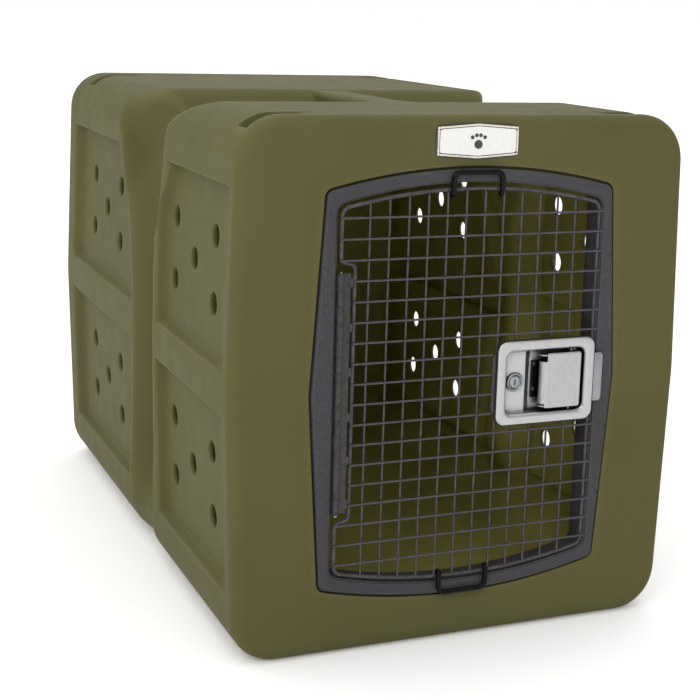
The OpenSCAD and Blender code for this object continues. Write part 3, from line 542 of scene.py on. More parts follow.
def build_shell():
    rings = []

    def add(half, y):
        rings.append(whole_ring(half, y))

    quarter = np.linspace(0, math.pi / 2, 9)
    # Outside, from the back face to the front face
    for a in quarter[:-1]:
        add(section(LENGTH - BACK_ROUND, BACK_ROUND * (1 - math.sin(a))),
            LENGTH - BACK_ROUND * (1 - math.cos(a)))
    outer_first = len(rings)
    for y in STATIONS[::-1]:
        add(section(y, 0.0), y)
    for a in quarter[1:]:
        add(section(FRONT_ROUND, FRONT_ROUND * (1 - math.cos(a))), FRONT_ROUND * (1 - math.sin(a)))
    # Front face, rebate and doorway
    face = section(FRONT_ROUND, FRONT_ROUND)
    gap, depth = 3.0, 9.0
    rim = on_shell(grown(FLANGE, gap + 1.5))
    for share in (0.25, 0.5, 0.75):
        add(face + (rim - face) * share, 0.0)
    add(rim, 0.0)
    add(on_shell(grown(FLANGE, gap + 0.5)), 0.4)
    add(on_shell(grown(FLANGE, gap)), 1.4)
    add(on_shell(grown(FLANGE, gap)), depth)
    add(on_shell(grown(FLANGE, -1.0)), depth)
    add(on_shell(grown(FLANGE, -2.0)), 6.0)
    add(on_shell(grown(DOORWAY, 5.0)), 6.0)
    add(on_shell(grown(DOORWAY, 5.0)), FRONT_WALL)
    # Inside, from the front wall to the back wall
    cabin_first = len(rings) - 1
    front_round, back_round = 6.0, BACK_ROUND - WALL
    inner_face = section(FRONT_WALL + front_round, WALL + front_round)
    door = on_shell(grown(DOORWAY, 5.0))
    for share in (0.5, 1.0):
        add(door + (inner_face - door) * share, FRONT_WALL)
    for a in quarter[2:-1:2]:
        add(section(FRONT_WALL + front_round, WALL + front_round * (1 - math.sin(a))),
            FRONT_WALL + front_round * (1 - math.cos(a)))
    inner_first = len(rings)
    inner_stations = STATIONS[(STATIONS >= FRONT_WALL + front_round)]
    for y in inner_stations:
        add(section(y, WALL), y)
    for a in quarter[2::2]:
        add(section(LENGTH - BACK_ROUND, WALL + back_round * (1 - math.cos(a))),
            LENGTH - BACK_ROUND + back_round * math.sin(a))

    points = np.concatenate(rings)
    holes = set()
    patches = []
    outer_of = {round(y, 4): outer_first + k for k, y in enumerate(STATIONS[::-1])}
    inner_of = {round(y, 4): inner_first + k for k, y in enumerate(inner_stations)}
    for yc, zc in vent_places:
        ys = STATIONS[(STATIONS > yc - VENT_PATCH - 0.01) & (STATIONS < yc + VENT_PATCH + 0.01)]
        js = np.nonzero((SIDE_Z > zc - VENT_PATCH - 0.01) & (SIDE_Z < zc + VENT_PATCH + 0.01))[0] + SIDE_START
        for left in (False, True):
            patches.append((yc, zc, ys, js, left))
            for table in (outer_of, inner_of):
                ids = sorted(table[round(y, 4)] for y in ys)
                for i in ids[:-1]:
                    for j in js[:-1]:
                        holes.add((i, (RING - j - 1) % RING if left else j))

    faces, kinds = [], []
    for i in range(len(rings) - 1):
        for j in range(RING):
            if (i, j) not in holes:
                k = (j + 1) % RING
                faces.append((i * RING + j, i * RING + k, (i + 1) * RING + k, (i + 1) * RING + j))
                kinds.append(int(i >= cabin_first))
    # The back wall, outside and inside, in strips from side to side
    last = (len(rings) - 1) * RING
    for base, flip in ((0, False), (last, True)):
        for j in range(HALF_COUNT - 1):
            quad = [base + j, base + j + 1, base + (RING - j - 1) % RING, base + (RING - j) % RING]
            quad = list(dict.fromkeys(quad))
            faces.append(tuple(quad[::-1] if flip else quad))
            kinds.append(int(flip))

    # Vents: a flared throat from the outer surface to the inner one
    throat = [(17.6, 0.0), (16.4, 0.06), (15.6, 0.3), (14.9, 0.8), (14.3, 1.6), (VENT_R, 2.7), (VENT_R, 4.9),
              (VENT_R + 0.4, 5.6), (VENT_R + 1.4, 6.0), (18.0, 6.0)]
    extra = []
    for yc, zc, ys, js, left in patches:
        sign = -1 if left else 1

        def column(table, y, j):
            return table[round(y, 4)] * RING + ((RING - j) % RING if left else j)

        border = [(y, js[0]) for y in ys[:-1]] + [(ys[-1], j) for j in js[:-1]]
        border += [(y, js[-1]) for y in ys[:0:-1]] + [(ys[0], j) for j in js[:0:-1]]
        loops = [[column(outer_of, y, j) for y, j in border]]
        angles = [math.atan2(SIDE_Z[j - SIDE_START] - zc, y - yc) for y, j in border]
        for r, d in throat:
            start = len(points) + len(extra)
            for a in angles:
                y, z = yc + r * math.cos(a), zc + r * math.sin(a)
                x = float(side_x(y, z, z, 0.0)) - d * math.hypot(1, DRAFT)
                extra.append((sign * x, y, z))
            loops.append(list(range(start, start + len(angles))))
        loops.append([column(inner_of, y, j) for y, j in border])
        n = len(angles)
        for a, b in zip(loops, loops[1:]):
            for k in range(n):
                m = (k + 1) % n
                faces.append((a[k], a[m], b[m], b[k]))
                kinds.append(int(b is loops[-1] or b is loops[-2]))
    points = np.concatenate([points, np.array(extra)])
    piece = add_mesh("shell_body", points, faces, "carrier", OLIVE, "olive_plastic", 50, kinds)
    # The cabin's faces take the lighter copy of the plastic, as painted light inside.
    piece.data.materials.append(OLIVE_INSIDE_LIT)
    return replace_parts(piece, "shell")


build_shell()

# ------------------------------------------------------------------ carrying bridge


def lofted(rings, close_ends=True):
    """Points and faces of a tube through rings of equal length."""
    n = len(rings[0])
    points = np.concatenate(rings)
    faces = []
    for i in range(len(rings) - 1):
        for j in range(n):
            k = (j + 1) % n
            faces.append((i * n + j, i * n + k, (i + 1) * n + k, (i + 1) * n + j))
    if close_ends:
        faces.append(tuple(range(n - 1, -1, -1)))
        faces.append(tuple((len(rings) - 1) * n + j for j in range(n)))
    return points, faces


def rounded_rect(w, h, r, steps=6):
    """Points round a rectangle of half sizes w and h with corner radius r."""
    out = []
    for cx, cz, start in ((1, 1, 0), (-1, 1, 90), (-1, -1, 180), (1, -1, 270)):
        for k in range(steps + 1):
            a = math.radians(start + 90 * k / steps)
            out.append((cx * (w - r) + r * math.cos(a), cz * (h - r) + r * math.sin(a)))
    return np.array(out)


def build_bridge():
    """The carrying bridge over the roof's groove, wider where it runs into the roof."""
    low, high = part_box("carry_bridge")
    half_w = (high.x - low.x) / 2 / MM
    top = (high.z - MID_Z) / MM
    thick = (high.z - low.z) / MM
    ends = (ROOF_FRONT + 14, ROOF_BACK + 10)
    flare, flare_width, flare_share, edge_round = 60.0, 16.0, 0.3, 9.0
    rings = []
    for y in np.linspace(*ends, 60):
        near = min(y - ends[0], ends[1] - y)
        spread = flare_width * (1 - smooth(near / flare)) ** 2
        drop = spread * flare_share
        section_points = rounded_rect(half_w - 1 + spread, thick / 2 + drop, edge_round)
        z = top - thick / 2 - drop + section_points[:, 1]
        rings.append(np.column_stack([section_points[:, 0], np.full(len(z), y), z]))
    piece = add_mesh("bridge_handle", *lofted(rings), "carrier", OLIVE, "olive_plastic", 50)
    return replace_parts(piece, "carry_bridge")


build_bridge()

# ------------------------------------------------------------------ door frame


def build_frame():
    """The moulded ring round the doorway, with its raised side pads and its sleeve."""
    pad_half, pad_rise, line_depth = 157.0, 1.0, 1.2
    side = np.concatenate([np.linspace(0, 0.62, 12), np.linspace(0.632, 0.68, 9), np.linspace(0.7, 1, 8)])
    corner = np.linspace(0, 1, 9)[1:]
    arc = np.linspace(0, 1, 22)[1:]
    # Each step is (outline, y, the share of the pads' rise and the lines' depth there).
    steps = [
        (FLANGE, 6.0, 0), (FLANGE, -0.2, 0.3),
        (grown(FLANGE, -0.4), -1.2, 0.8), (grown(FLANGE, -1.2), -1.8, 1),
        (grown(FLANGE, -2.4), -2.0, 1), (grown(DOORWAY, 4.6), -2.0, 1), (grown(DOORWAY, 3.2), -1.9, 1),
        (grown(DOORWAY, 2.3), -1.3, 0.9), (grown(DOORWAY, 2.0), -0.4, 0), (grown(DOORWAY, 1.2), 0.0, 0),
        (grown(DOORWAY, 0.3), 0.1, 0), (DOORWAY, 0.8, 0), (DOORWAY, 34.5, 0), (grown(DOORWAY, 0.7), 35.7, 0),
        (grown(DOORWAY, 2.0), 36.0, 0), (grown(DOORWAY, 3.4), 35.6, 0), (grown(DOORWAY, 4.0), 34.6, 0),
        (grown(DOORWAY, 4.0), 6.0, 0),
    ]
    rings = []
    for outline, y, raised in steps:
        half = bowed(*outline, side, corner, arc)
        ring = whole_ring(half, y)
        pad = smooth((pad_half - np.abs(ring[:, 2])) / 2.0 + 0.5)
        line = smooth(1.4 - np.abs(np.abs(ring[:, 2]) - pad_half - 1.2) / 1.6)
        ring[:, 1] += raised * (line_depth * line - pad_rise * pad)
        rings.append(ring)
    rings.append(rings[0])
    piece = add_mesh("door_surround", *lofted(rings, False), "carrier", FRAME, "frame_plastic", 40)
    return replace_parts(piece, "door_frame")


build_frame()

# ------------------------------------------------------------------ rods


def tube(points, radius, sides=16, closed=False):
    """Points and faces of a rod bent along layout points, closed or with domed ends."""
    p = np.asarray(points, float)
    ahead = np.roll(p, -1, 0) - p
    if not closed:
        ahead[-1] = ahead[-2]
    ahead /= np.linalg.norm(ahead, axis=1)[:, None]
    behind = np.roll(ahead, 1, 0)
    if not closed:
        behind[0] = ahead[0]
    tangent = ahead + behind
    tangent /= np.linalg.norm(tangent, axis=1)[:, None]
    first = np.cross(tangent[0], [0.3, 0.9, 0.2])
    side = first / np.linalg.norm(first)
    rings = []
    angles = np.linspace(0, 2 * math.pi, sides, endpoint=False)
    for k, t in enumerate(tangent):
        side = side - t * (side @ t)
        side /= np.linalg.norm(side)
        other = np.cross(t, side)
        rings.append(p[k] + radius * (np.outer(np.cos(angles), side) + np.outer(np.sin(angles), other)))
    if closed:
        # The last ring has turned against the first, so shift finds the points that meet.
        n = len(rings)
        quads = []
        gap = np.linalg.norm(rings[0][None] - rings[-1][:, None], axis=2)
        shift = int(np.argmin(gap[0]))
        points = np.concatenate(rings)
        for i in range(n):
            for j in range(sides):
                k = (j + 1) % sides
                if i < n - 1:
                    quads.append((i * sides + j, i * sides + k, (i + 1) * sides + k, (i + 1) * sides + j))
                else:
                    quads.append((i * sides + j, i * sides + k, (k + shift) % sides, (j + shift) % sides))
        return points, quads
    for ring, centre, t in ((rings[0], p[0], -tangent[0]), (rings[-1], p[-1], tangent[-1])):
        cap = [centre + (ring - centre) * c + t * radius * s * 0.5
               for c, s in ((0.85, 0.53), (0.45, 0.9))]
        if ring is rings[0]:
            rings = cap[::-1] + rings
        else:
            rings = rings + cap
    return lofted(rings)


def arc_points(cx, cz, r, start, end, steps):
    a = np.radians(np.linspace(start, end, steps + 1))
    return np.stack([cx + r * np.cos(a), cz + r * np.sin(a)], 1)


RIM_R = 2.5
RIM_Y = -1.5
RIM_HALF = 175.0
RIM_HINGE = -157.0
RIM_APEX = 248.0
RIM_BOW = 730.0
RIM_CORNER = 12.0
JOG_OUT = 163.5
JOG_IN = 159.5
JOG_R = 7.0


def build_rim():
    """The door's rim: one bent rod, drawn in round the hinge."""
    cx = RIM_HALF - RIM_CORNER
    cz = RIM_APEX - RIM_BOW + math.sqrt((RIM_BOW - RIM_CORNER) ** 2 - cx * cx)
    turn = math.degrees(math.atan2(cz - RIM_APEX + RIM_BOW, cx))
    jog = math.degrees(math.atan2(RIM_HALF + RIM_HINGE, JOG_OUT - JOG_IN))
    reach = JOG_R * math.tan(math.radians(jog / 2))
    upper = np.concatenate([
        arc_points(cx, cz, RIM_CORNER, 0, turn, 10),
        arc_points(0, RIM_APEX - RIM_BOW, RIM_BOW, turn + 0.6, 179.4 - turn, 30),
        arc_points(-cx, cz, RIM_CORNER, 180 - turn, 180, 10),
        arc_points(JOG_R - RIM_HALF, JOG_OUT + reach, JOG_R, 180, 180 + jog, 8),
        arc_points(RIM_HINGE - JOG_R, JOG_IN - reach, JOG_R, jog, 0, 8)])
    loop = np.concatenate([upper, (upper * [1, -1])[::-1]])
    path = np.column_stack([loop[:, 0], np.full(len(loop), RIM_Y), loop[:, 1]])
    piece = add_mesh("rim_rod", *tube(path, RIM_R, closed=True), "door", COATED, "wire_coat")
    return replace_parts(piece, "door_rim")


build_rim()


def build_stop_loop(name, node, up):
    """A rod loop on the rim that overlaps the frame. up is 1 at the top and -1 at the bottom."""
    half, bar, bend, foot = 33.0, 268.5, 9.0, 5.0
    radius = 3.4
    y = RIM_Y - RIM_R - radius
    foot_z = RIM_APEX - RIM_BOW + math.sqrt(RIM_BOW ** 2 - half ** 2) - RIM_R - radius - 0.4
    curl = arc_points(foot, foot, foot, 270, 180, 8)
    first = np.column_stack([np.full(len(curl), half), y + curl[:, 0], foot_z + curl[:, 1]])
    knee = arc_points(half - bend, bar - bend, bend, 0, 90, 9)
    second = np.column_stack([knee[:, 0], np.full(len(knee), y), knee[:, 1]])
    right = np.concatenate([first, second])
    path = np.concatenate([right, (right * [-1, 1, 1])[::-1]])
    path[:, 2] *= up
    piece = add_mesh(name, *tube(path, radius), "door", GLOSS, "gloss_black")
    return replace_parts(piece, node)


build_stop_loop("loop_rod_top", "stop_loop_top", 1)
build_stop_loop("loop_rod_bottom", "stop_loop_bottom", -1)

# ------------------------------------------------------------------ small hard parts


def softened(node, width, segments=2, material=None):
    """A CAD node's shape again with its edges broken, in place of that node."""
    source = frame["nodes"][node]
    mesh = source.data.copy()
    mesh.name = node + "_edged"
    bm = bmesh.new()
    bm.from_mesh(mesh)
    bmesh.ops.remove_doubles(bm, verts=bm.verts, dist=1e-6)
    bmesh.ops.dissolve_limit(bm, angle_limit=math.radians(0.6), verts=bm.verts, edges=bm.edges)
    sharp = [e for e in bm.edges if len(e.link_faces) == 2 and e.calc_face_angle() > math.radians(35)]
    bmesh.ops.bevel(bm, geom=sharp, offset=width * MM, offset_type="OFFSET", segments=segments,
                    profile=0.5, affect="EDGES", clamp_overlap=True)
    bm.to_mesh(mesh)
    bm.free()
    mesh.shade_smooth()
    mesh.set_sharp_from_angle(angle=math.radians(40))
    piece = bpy.data.objects.new(node + "_edged", mesh)
    bpy.context.scene.collection.objects.link(piece)
    if material:
        mesh.materials.clear()
        mesh.materials.append(material)
    body = source["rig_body"]
    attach(piece, body)
    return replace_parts(piece, node)


softened("stop_plate", 0.4, 3, STOP)
softened("latch_bracket", 0.4)
softened("frame_retainer", 1.0, 3)
softened("hinge_frame_leaf", 0.25)
softened("hinge_door_leaf", 0.25)

# ------------------------------------------------------------------ latch

PLATE_FRONT = -10.2
PLATE_HALF_W, PLATE_HALF_H = 69.5, 54.3
LAND_Y, WELL_Y = -2.2, 7.0
STEP_TOP, STEP_FOOT = -26.6, -16.8
LOCK_X = -41.2


def rounded_outline(x0, x1, half_h, r, along_x=70, along_z=46, corner=9):
    """Points round a rounded rectangle in the layout's x and z, counterclockwise."""
    centres = [(x1 - r, r - half_h), (x1 - r, half_h - r), (x0 + r, half_h - r), (x0 + r, r - half_h)]
    arcs = []
    for k, centre in enumerate(centres):
        a = np.radians(np.linspace(90 * k - 90, 90 * k, corner))
        arcs.append(centre + r * np.stack([np.cos(a), np.sin(a)], 1))
    out = []
    for k, arc in enumerate(arcs):
        end = arcs[(k + 1) % 4][0]
        share = np.linspace(0, 1, along_x if k % 2 else along_z)[1:-1, None]
        out += [arc, arc[-1] * (1 - share) + end * share]
    return np.concatenate(out)


def sheet_rings(shapes, fill, fill_y):
    """Rings from (outline, y) pairs, then rings that close the last outline to its middle."""
    rings = [np.column_stack([o[:, 0], np.broadcast_to(y, len(o)), o[:, 1]]) for o, y in shapes]
    last = shapes[-1][0]
    half = last[:, 1].max()
    spine_x = np.clip(last[:, 0], last[:, 0].min() + half, last[:, 0].max() - half)
    spine = np.column_stack([spine_x, np.zeros(len(last))])
    for share in np.linspace(0, 1, fill + 1)[1:]:
        p = last + (spine - last) * share
        rings.append(np.column_stack([p[:, 0], np.broadcast_to(fill_y(p[:, 0]), len(p)), p[:, 1]]))
    return rings


def cut_sheet(piece, boxes, shift):
    """Cut the boxes out of a sheet's single skin."""
    bm = bmesh.new()
    bm.from_mesh(piece.data)
    for low, high in boxes:
        low, high = (place(np.array(corner) + [shift, 0, 0])[0] for corner in (low, high))
        for axis in range(3):
            for at in (low[axis], high[axis]):
                point, normal = [0.0, 0.0, 0.0], [0.0, 0.0, 0.0]
                point[axis], normal[axis] = at, 1.0
                bmesh.ops.bisect_plane(bm, geom=bm.verts[:] + bm.edges[:] + bm.faces[:], dist=1e-6,
                                       plane_co=point, plane_no=normal)
        gone = [f for f in bm.faces if all(low[k] < f.calc_center_median()[k] < high[k] for k in range(3))]
        bmesh.ops.delete(bm, geom=gone, context="FACES")
    bm.to_mesh(piece.data)
    bm.free()


def sheet_piece(name, rings, thickness, openings, body, material, slot, shift):
    """A sheet-metal piece: the rings as its front skin, less the openings, thickened backwards."""
    points, faces = lofted(rings, False)
    piece = add_mesh(name, points + [shift, 0, 0], faces, body, material, slot)
    flat = [f for f in piece.data.polygons if abs(f.normal.y) > 0.9]
    if sum(f.normal.y * f.area for f in flat) > 0:
        piece.data.flip_normals()
    cut_sheet(piece, openings, shift)
    solid = piece.modifiers.new("thickness", "SOLIDIFY")
    solid.thickness = thickness * MM
    solid.offset = -1
    bpy.context.view_layer.update()
    graph = bpy.context.evaluated_depsgraph_get()
    made = bpy.data.meshes.new_from_object(piece.evaluated_get(graph))
    piece.modifiers.clear()
    piece.data = made
    made.shade_smooth()
    made.set_sharp_from_angle(angle=math.radians(38))
    return piece


def well_floor(x):
    """Depth of the tray's floor: the lock's land on the left, then a step down."""
    return LAND_Y + (WELL_Y - LAND_Y) * np.clip((x - STEP_TOP) / (STEP_FOOT - STEP_TOP), 0, 1)


def build_tray():
    """The latch's plate with its dished pan."""
    def plate(inset):
        return rounded_outline(inset - PLATE_HALF_W, PLATE_HALF_W - inset, PLATE_HALF_H - inset, 12.5 - inset)

    def mouth(inset):
        return rounded_outline(inset - 61.0, 60.5 - inset, 45.5 - inset, 13.5 - inset)

    fillet, foot = 5.4, 2.2
    shapes = [(plate(0.0), PLATE_FRONT + 1.3), (plate(0.25), PLATE_FRONT + 0.6),
              (plate(0.8), PLATE_FRONT + 0.15), (plate(1.6), PLATE_FRONT), (mouth(0.0), PLATE_FRONT)]
    for a in np.radians([15, 30, 45, 60, 75, 90]):
        shapes.append((mouth(fillet * math.sin(a)), PLATE_FRONT + fillet * (1 - math.cos(a))))
    for inset, share in ((0.3, 0.4), (0.6, 0.8), (1.0, 1.0)):
        outline = mouth(fillet + inset)
        deep = well_floor(outline[:, 0]) - foot
        top = PLATE_FRONT + fillet
        shapes.append((outline, top + np.maximum(deep - top, 0.1) * share))
    for a in np.radians([30, 60, 90]):
        outline = mouth(fillet + 1.0 + foot * (1 - math.cos(a)))
        shapes.append((outline, well_floor(outline[:, 0]) - foot * (1 - math.sin(a))))
    rings = sheet_rings(shapes, 30, well_floor)
    slot = ((20, 4, -8), (42, 12, 8))
    piece = sheet_piece("tray_pressing", rings, 1.5, [slot], "door", STEEL_FACE, "stainless", LATCH_X)
    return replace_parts(piece, "latch_tray")


PADDLE_LEFT, PADDLE_RIGHT = -6.4, 50.4
PADDLE_HALF_H = 36.2
PADDLE_FRONT = -11.0


def build_paddle():
    """The paddle: a sheet cap with a rolled finger edge on its left and notched corners."""
    def cap(inset, lip):
        return rounded_outline(PADDLE_LEFT + lip, PADDLE_RIGHT - inset, PADDLE_HALF_H - inset, 3.6 - inset,
                               along_x=60, along_z=40)

    roll, bend = 7.5, 1.8
    shapes = [(cap(0.0, 0.0), PADDLE_FRONT + 9.0)]
    for share in np.linspace(0, 1, 8):
        a = share * math.pi / 2
        outline = cap(bend * (1 - math.cos(a)), roll * (1 - math.cos(a)))
        left = smooth((PADDLE_LEFT + roll + 2 - outline[:, 0]) / (roll * 0.8))
        y = PADDLE_FRONT + (1 - math.sin(a)) * (bend + (roll - bend) * left)
        shapes.append((outline, y))
    rings = sheet_rings(shapes, 12, lambda x: PADDLE_FRONT + 0 * x)
    notches = [((-12, -14, 25.0), (1.0, -1.5, 40)), ((-12, -14, -40), (-1.2, -1.5, -30.2))]
    piece = sheet_piece("paddle_cap", rings, 1.5, notches, "latch_paddle", STEEL, "stainless", LATCH_X)
    build_paddle_arm()
    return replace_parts(piece, "paddle")


def build_paddle_arm():
    """Side ears round the pivot pin, hub and driving arm, behind the paddle's face."""
    parts = []
    for sign in (-1, 1):
        ear = []
        for a in np.radians(np.linspace(180, 270, 9)):
            ear.append((1.0 + 8.6 * math.cos(a), -1.4 + 8.6 * math.sin(a)))
        ear += [(43.4, -10.0), (43.4, -0.5), (30.0, -0.5), (22.0, -3.5),
                (2.0, -3.5), (-4.0, 0.5), (-7.0, 1.5)]
        ear = np.array(ear)
        z0, z1 = sorted((sign * (PADDLE_HALF_H - 2.2), sign * (PADDLE_HALF_H - 3.6)))
        parts.append([np.column_stack([ear[:, 0], ear[:, 1], np.full(len(ear), z)]) for z in (z0, z1)])
    hub = np.array([(37.4 + 4.5 * math.cos(a), -4 + 4.5 * math.sin(a))
                    for a in np.linspace(0, 2 * math.pi, 32, endpoint=False)])
    parts.append([np.column_stack([hub[:, 0], hub[:, 1], np.full(32, z)]) for z in (-5.0, 5.0)])
    arm = np.array([(34.4, -4), (40.4, -4), (40.4, 13.5), (39.0, 15), (35.8, 15), (34.4, 13.5)])
    parts.append([np.column_stack([arm[:, 0], arm[:, 1], np.full(6, z)]) for z in (-4.9, 4.9)])
    points, faces = [], []
    for rings in parts:
        p, f = lofted(rings)
        base = sum(len(q) for q in points)
        points.append(p)
        faces += [tuple(i + base for i in face) for face in f]
    piece = add_mesh("paddle_arm", np.concatenate(points) + [LATCH_X, 0, 0], faces, "latch_paddle", STEEL,
                     "stainless", 35)
    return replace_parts(piece, "paddle")


def turned(profile, x, segments=64):
    """Rings of a turned piece round a Y axis at x: its profile as (radius, y) pairs."""
    a = np.linspace(0, 2 * math.pi, segments, endpoint=False)
    return [np.column_stack([x + r * np.cos(a), np.full(segments, float(y)), r * np.sin(a)])
            for r, y in profile]


def build_lock():
    """The lock's barrel with a turned bezel."""
    x = LATCH_X + LOCK_X
    profile = [(8.4, 18.0), (8.4, -2.0), (11.2, -2.1), (11.9, -2.6), (12.0, -3.6), (11.5, -4.5),
               (10.6, -4.9), (9.8, -4.8), (9.1, -4.0), (8.7, -3.2), (8.3, -3.1), (7.9, -3.7),
               (7.3, -4.0), (6.6, -3.9), (6.4, -3.2), (6.4, 18.0)]
    rings = turned(profile, x)
    rings.append(rings[0])
    piece = add_mesh("lock_bezel", *lofted(rings, False), "door", PLATED, "stainless", 50)
    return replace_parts(piece, "lock_cylinder")


def build_gasket():
    """The rubber gasket between the latch's plate and the bracket."""
    over, back, edge, front = 1.3, -6.1, -7.6, -8.3
    outer = rounded_outline(-PLATE_HALF_W - over, PLATE_HALF_W + over, PLATE_HALF_H + over, 12.5 + over)
    inner = rounded_outline(-60.0, 59.5, 44.5, 10.0)
    shapes = [(outer, back), (outer, edge), (outer, front), (inner, front), (inner, back), (outer, back)]
    rings = [np.column_stack([o[:, 0] + LATCH_X, np.full(len(o), y), o[:, 1]]) for o, y in shapes]
    piece = add_mesh("gasket_pad", *lofted(rings, False), "door", GASKET, "gasket_rubber", 40)
    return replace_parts(piece, "latch_gasket")


build_tray()
build_paddle()
build_lock()
build_gasket()

# ------------------------------------------------------------------ badge

BADGE_Z = 305.5
BADGE_HALF_W, BADGE_HALF_H, BADGE_END = 55.0, 21.5, 17.6


def badge_outline(inset, r=7.0):
    """The badge's long hexagon with rounded corners, drawn in by inset."""
    w, h, e = BADGE_HALF_W - inset, BADGE_HALF_H - inset, BADGE_END - inset
    r = max(r - inset, 0.8)
    corners = [(w, -e), (w, e), (0.0, h), (-w, e), (-w, -e), (0.0, -h)]
    out = []
    for k, c in enumerate(corners):
        c = np.array(c)
        before, after = np.array(corners[k - 1]), np.array(corners[(k + 1) % 6])
        start = c + (before - c) / np.linalg.norm(before - c) * r
        end = c + (after - c) / np.linalg.norm(after - c) * r
        for t in np.linspace(0, 1, 9):
            out.append(start * (1 - t) ** 2 + c * 2 * t * (1 - t) + end * t ** 2)
    return np.array(out) + [0.0, BADGE_Z]


def build_badge():
    """The badge's raised rim with a dark line on either side of its light band, and the face in it. The outer
    dark line is painted shadow of the gap round the badge.
    """
    # The rim's section, as (inset from the outline, depth) pairs
    rows = [(-1.3, 0.2), (-1.3, -0.9), (-1.0, -1.2), (0.3, -1.3), (0.5, -1.9), (0.8, -2.3),
            (1.3, -2.4), (2.3, -2.4), (2.6, -2.2), (2.8, -1.8), (3.7, -1.7), (3.7, 0.2)]
    band = (0.45, 2.75)
    face_inset, face_edge, face_front = 3.6, -1.0, -1.9
    rings = []
    for inset, y in rows:
        o = badge_outline(inset)
        rings.append(np.column_stack([o[:, 0], np.full(len(o), y), o[:, 1]]))
    points, faces = lofted(rings, False)
    piece = add_mesh("badge_rim", points, faces, "carrier", BORDER, "badge_border", 40)
    piece.data.materials.append(MARK_AND_PAINTED_SHADOW)
    # Faces outside the light band take the dark material; the outer ring of them is painted shadow.
    for face in piece.data.polygons:
        x, z = abs(face.center.x) / MM, abs((face.center.z - MID_Z) / MM - BADGE_Z)
        edge = BADGE_HALF_H + (BADGE_END - BADGE_HALF_H) * x / BADGE_HALF_W
        depth = min(BADGE_HALF_W - x, edge - z)
        if not band[0] <= depth <= band[1]:
            face.material_index = 1
    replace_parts(piece, "badge_plate")
    outline = badge_outline(face_inset) - [0, BADGE_Z]
    rings = sheet_rings([(outline, face_edge), (outline, face_front)], 5, lambda x: face_front + 0 * x)
    points, faces = lofted(rings, False)
    face = add_mesh("badge_panel", points + [0, 0, BADGE_Z], faces, "carrier", WHITE, "badge_white", 40)
    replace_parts(face, "badge_face")


build_badge()

# ------------------------------------------------------------------ stage, light and camera


def build_stage():
    """A wide white floor."""
    reach, cells = 90.0, 41
    xs = ys = reach * np.linspace(-1, 1, cells) ** 3
    points = [(x, y, 0.0) for y in ys for x in xs]
    faces = [(r * cells + c, r * cells + c + 1, (r + 1) * cells + c + 1, (r + 1) * cells + c)
             for r in range(cells - 1) for c in range(cells - 1)]
    mesh = bpy.data.meshes.new("floor")
    mesh.from_pydata(points, [], faces)
    s = Shader("floor_paint")
    s.link(s.mix(s.noise(3, 4), srgb(238, 238, 237), srgb(244, 244, 243)), s.bsdf.inputs["Base Color"])
    s.bsdf.inputs["Roughness"].default_value = 0.8
    s.bsdf.inputs["Emission Color"].default_value = (1.0, 1.0, 1.0, 1.0)
    s.bsdf.inputs["Emission Strength"].default_value = 0.14
    mesh.materials.append(s.material)
    floor = bpy.data.objects.new("floor", mesh)
    bpy.context.scene.collection.objects.link(floor)


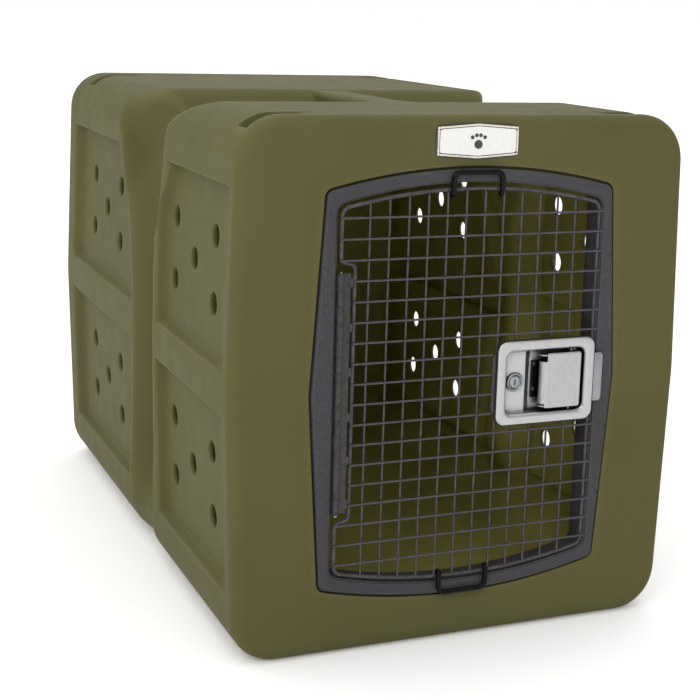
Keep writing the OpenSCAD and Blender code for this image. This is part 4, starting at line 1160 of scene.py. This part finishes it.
def build_light():
    """A bright room, darker in front, and four softboxes."""
    world = bpy.data.worlds.new("studio")
    bpy.context.scene.world = world
    world.use_nodes = True
    tree = world.node_tree
    background = tree.nodes["Background"]
    coords = tree.nodes.new("ShaderNodeTexCoord")
    split = tree.nodes.new("ShaderNodeSeparateXYZ")
    tree.links.new(coords.outputs["Generated"], split.inputs["Vector"])

    def share(axis, start, end, low, high):
        node = tree.nodes.new("ShaderNodeMapRange")
        node.interpolation_type = "SMOOTHSTEP"
        for key, value in zip(("From Min", "From Max", "To Min", "To Max"), (start, end, low, high)):
            node.inputs[key].default_value = value
        tree.links.new(split.outputs[axis], node.inputs["Value"])
        return node.outputs["Result"]

    def add(a, b):
        node = tree.nodes.new("ShaderNodeMath")
        tree.links.new(a, node.inputs[0])
        tree.links.new(b, node.inputs[1])
        return node.outputs["Value"]

    strength = add(share("Y", -0.5, 0.5, 0.3, 1.0), share("Z", 0.35, 0.95, 0.0, 1.0))
    strength = add(strength, share("X", -0.95, -0.3, 0.2, 0.0))
    tree.links.new(strength, background.inputs["Strength"])
    background.inputs["Color"].default_value = (1.0, 1.0, 1.0, 1.0)

    def softbox(name, place_at, aim_at, size, power):
        light = bpy.data.lights.new(name, "AREA")
        light.shape = "SQUARE"
        light.size = size
        light.energy = power
        lamp = bpy.data.objects.new(name, light)
        lamp.location = place_at
        lamp.rotation_euler = (Vector(aim_at) - Vector(place_at)).to_track_quat("-Z", "Y").to_euler()
        bpy.context.scene.collection.objects.link(lamp)

    softbox("key", (-1.9, -2.4, 2.4), (0, 0, 0.3), 0.7, 16)
    softbox("fill", (0.4, -3.6, 1.0), (0, 0, 0.35), 1.8, 14)
    softbox("spark", (-0.9, -2.6, 1.9), (0, 0, 0.5), 0.25, 8)
    softbox("side", (-4.0, 0.2, 1.0), (0, 0, 0.35), 1.6, 18)


def build_camera():
    """A camera in front of the object, to its left and above it, turned down towards it."""
    focal_px, centre_px, size_px, sensor = 1484.8, (382.8, 296.3), 700, 36.0
    azimuth, elevation, roll = map(math.radians, (23.361, -11.052, 1.799))
    place_at = Vector((-0.8159, FRONT_Y - 1.6130, MID_Z + 0.4623))
    ahead = Vector((math.sin(azimuth) * math.cos(elevation), math.cos(azimuth) * math.cos(elevation),
                    math.sin(elevation)))
    level = Vector((math.cos(azimuth), -math.sin(azimuth), 0))
    above = level.cross(ahead)
    right = level * math.cos(roll) + above * math.sin(roll)
    up = right.cross(ahead)
    data = bpy.data.cameras.new("camera")
    data.sensor_width = sensor
    data.lens = sensor * focal_px / size_px
    data.shift_x = (size_px / 2 - centre_px[0]) / size_px
    data.shift_y = (centre_px[1] - size_px / 2) / size_px
    camera = bpy.data.objects.new("camera", data)
    turn = Matrix((right, up, -ahead)).transposed().to_4x4()
    camera.matrix_world = Matrix.Translation(place_at) @ turn
    bpy.context.scene.collection.objects.link(camera)
    bpy.context.scene.camera = camera


build_stage()
build_light()
build_camera()
bpy.context.scene.view_settings.view_transform = "Standard"
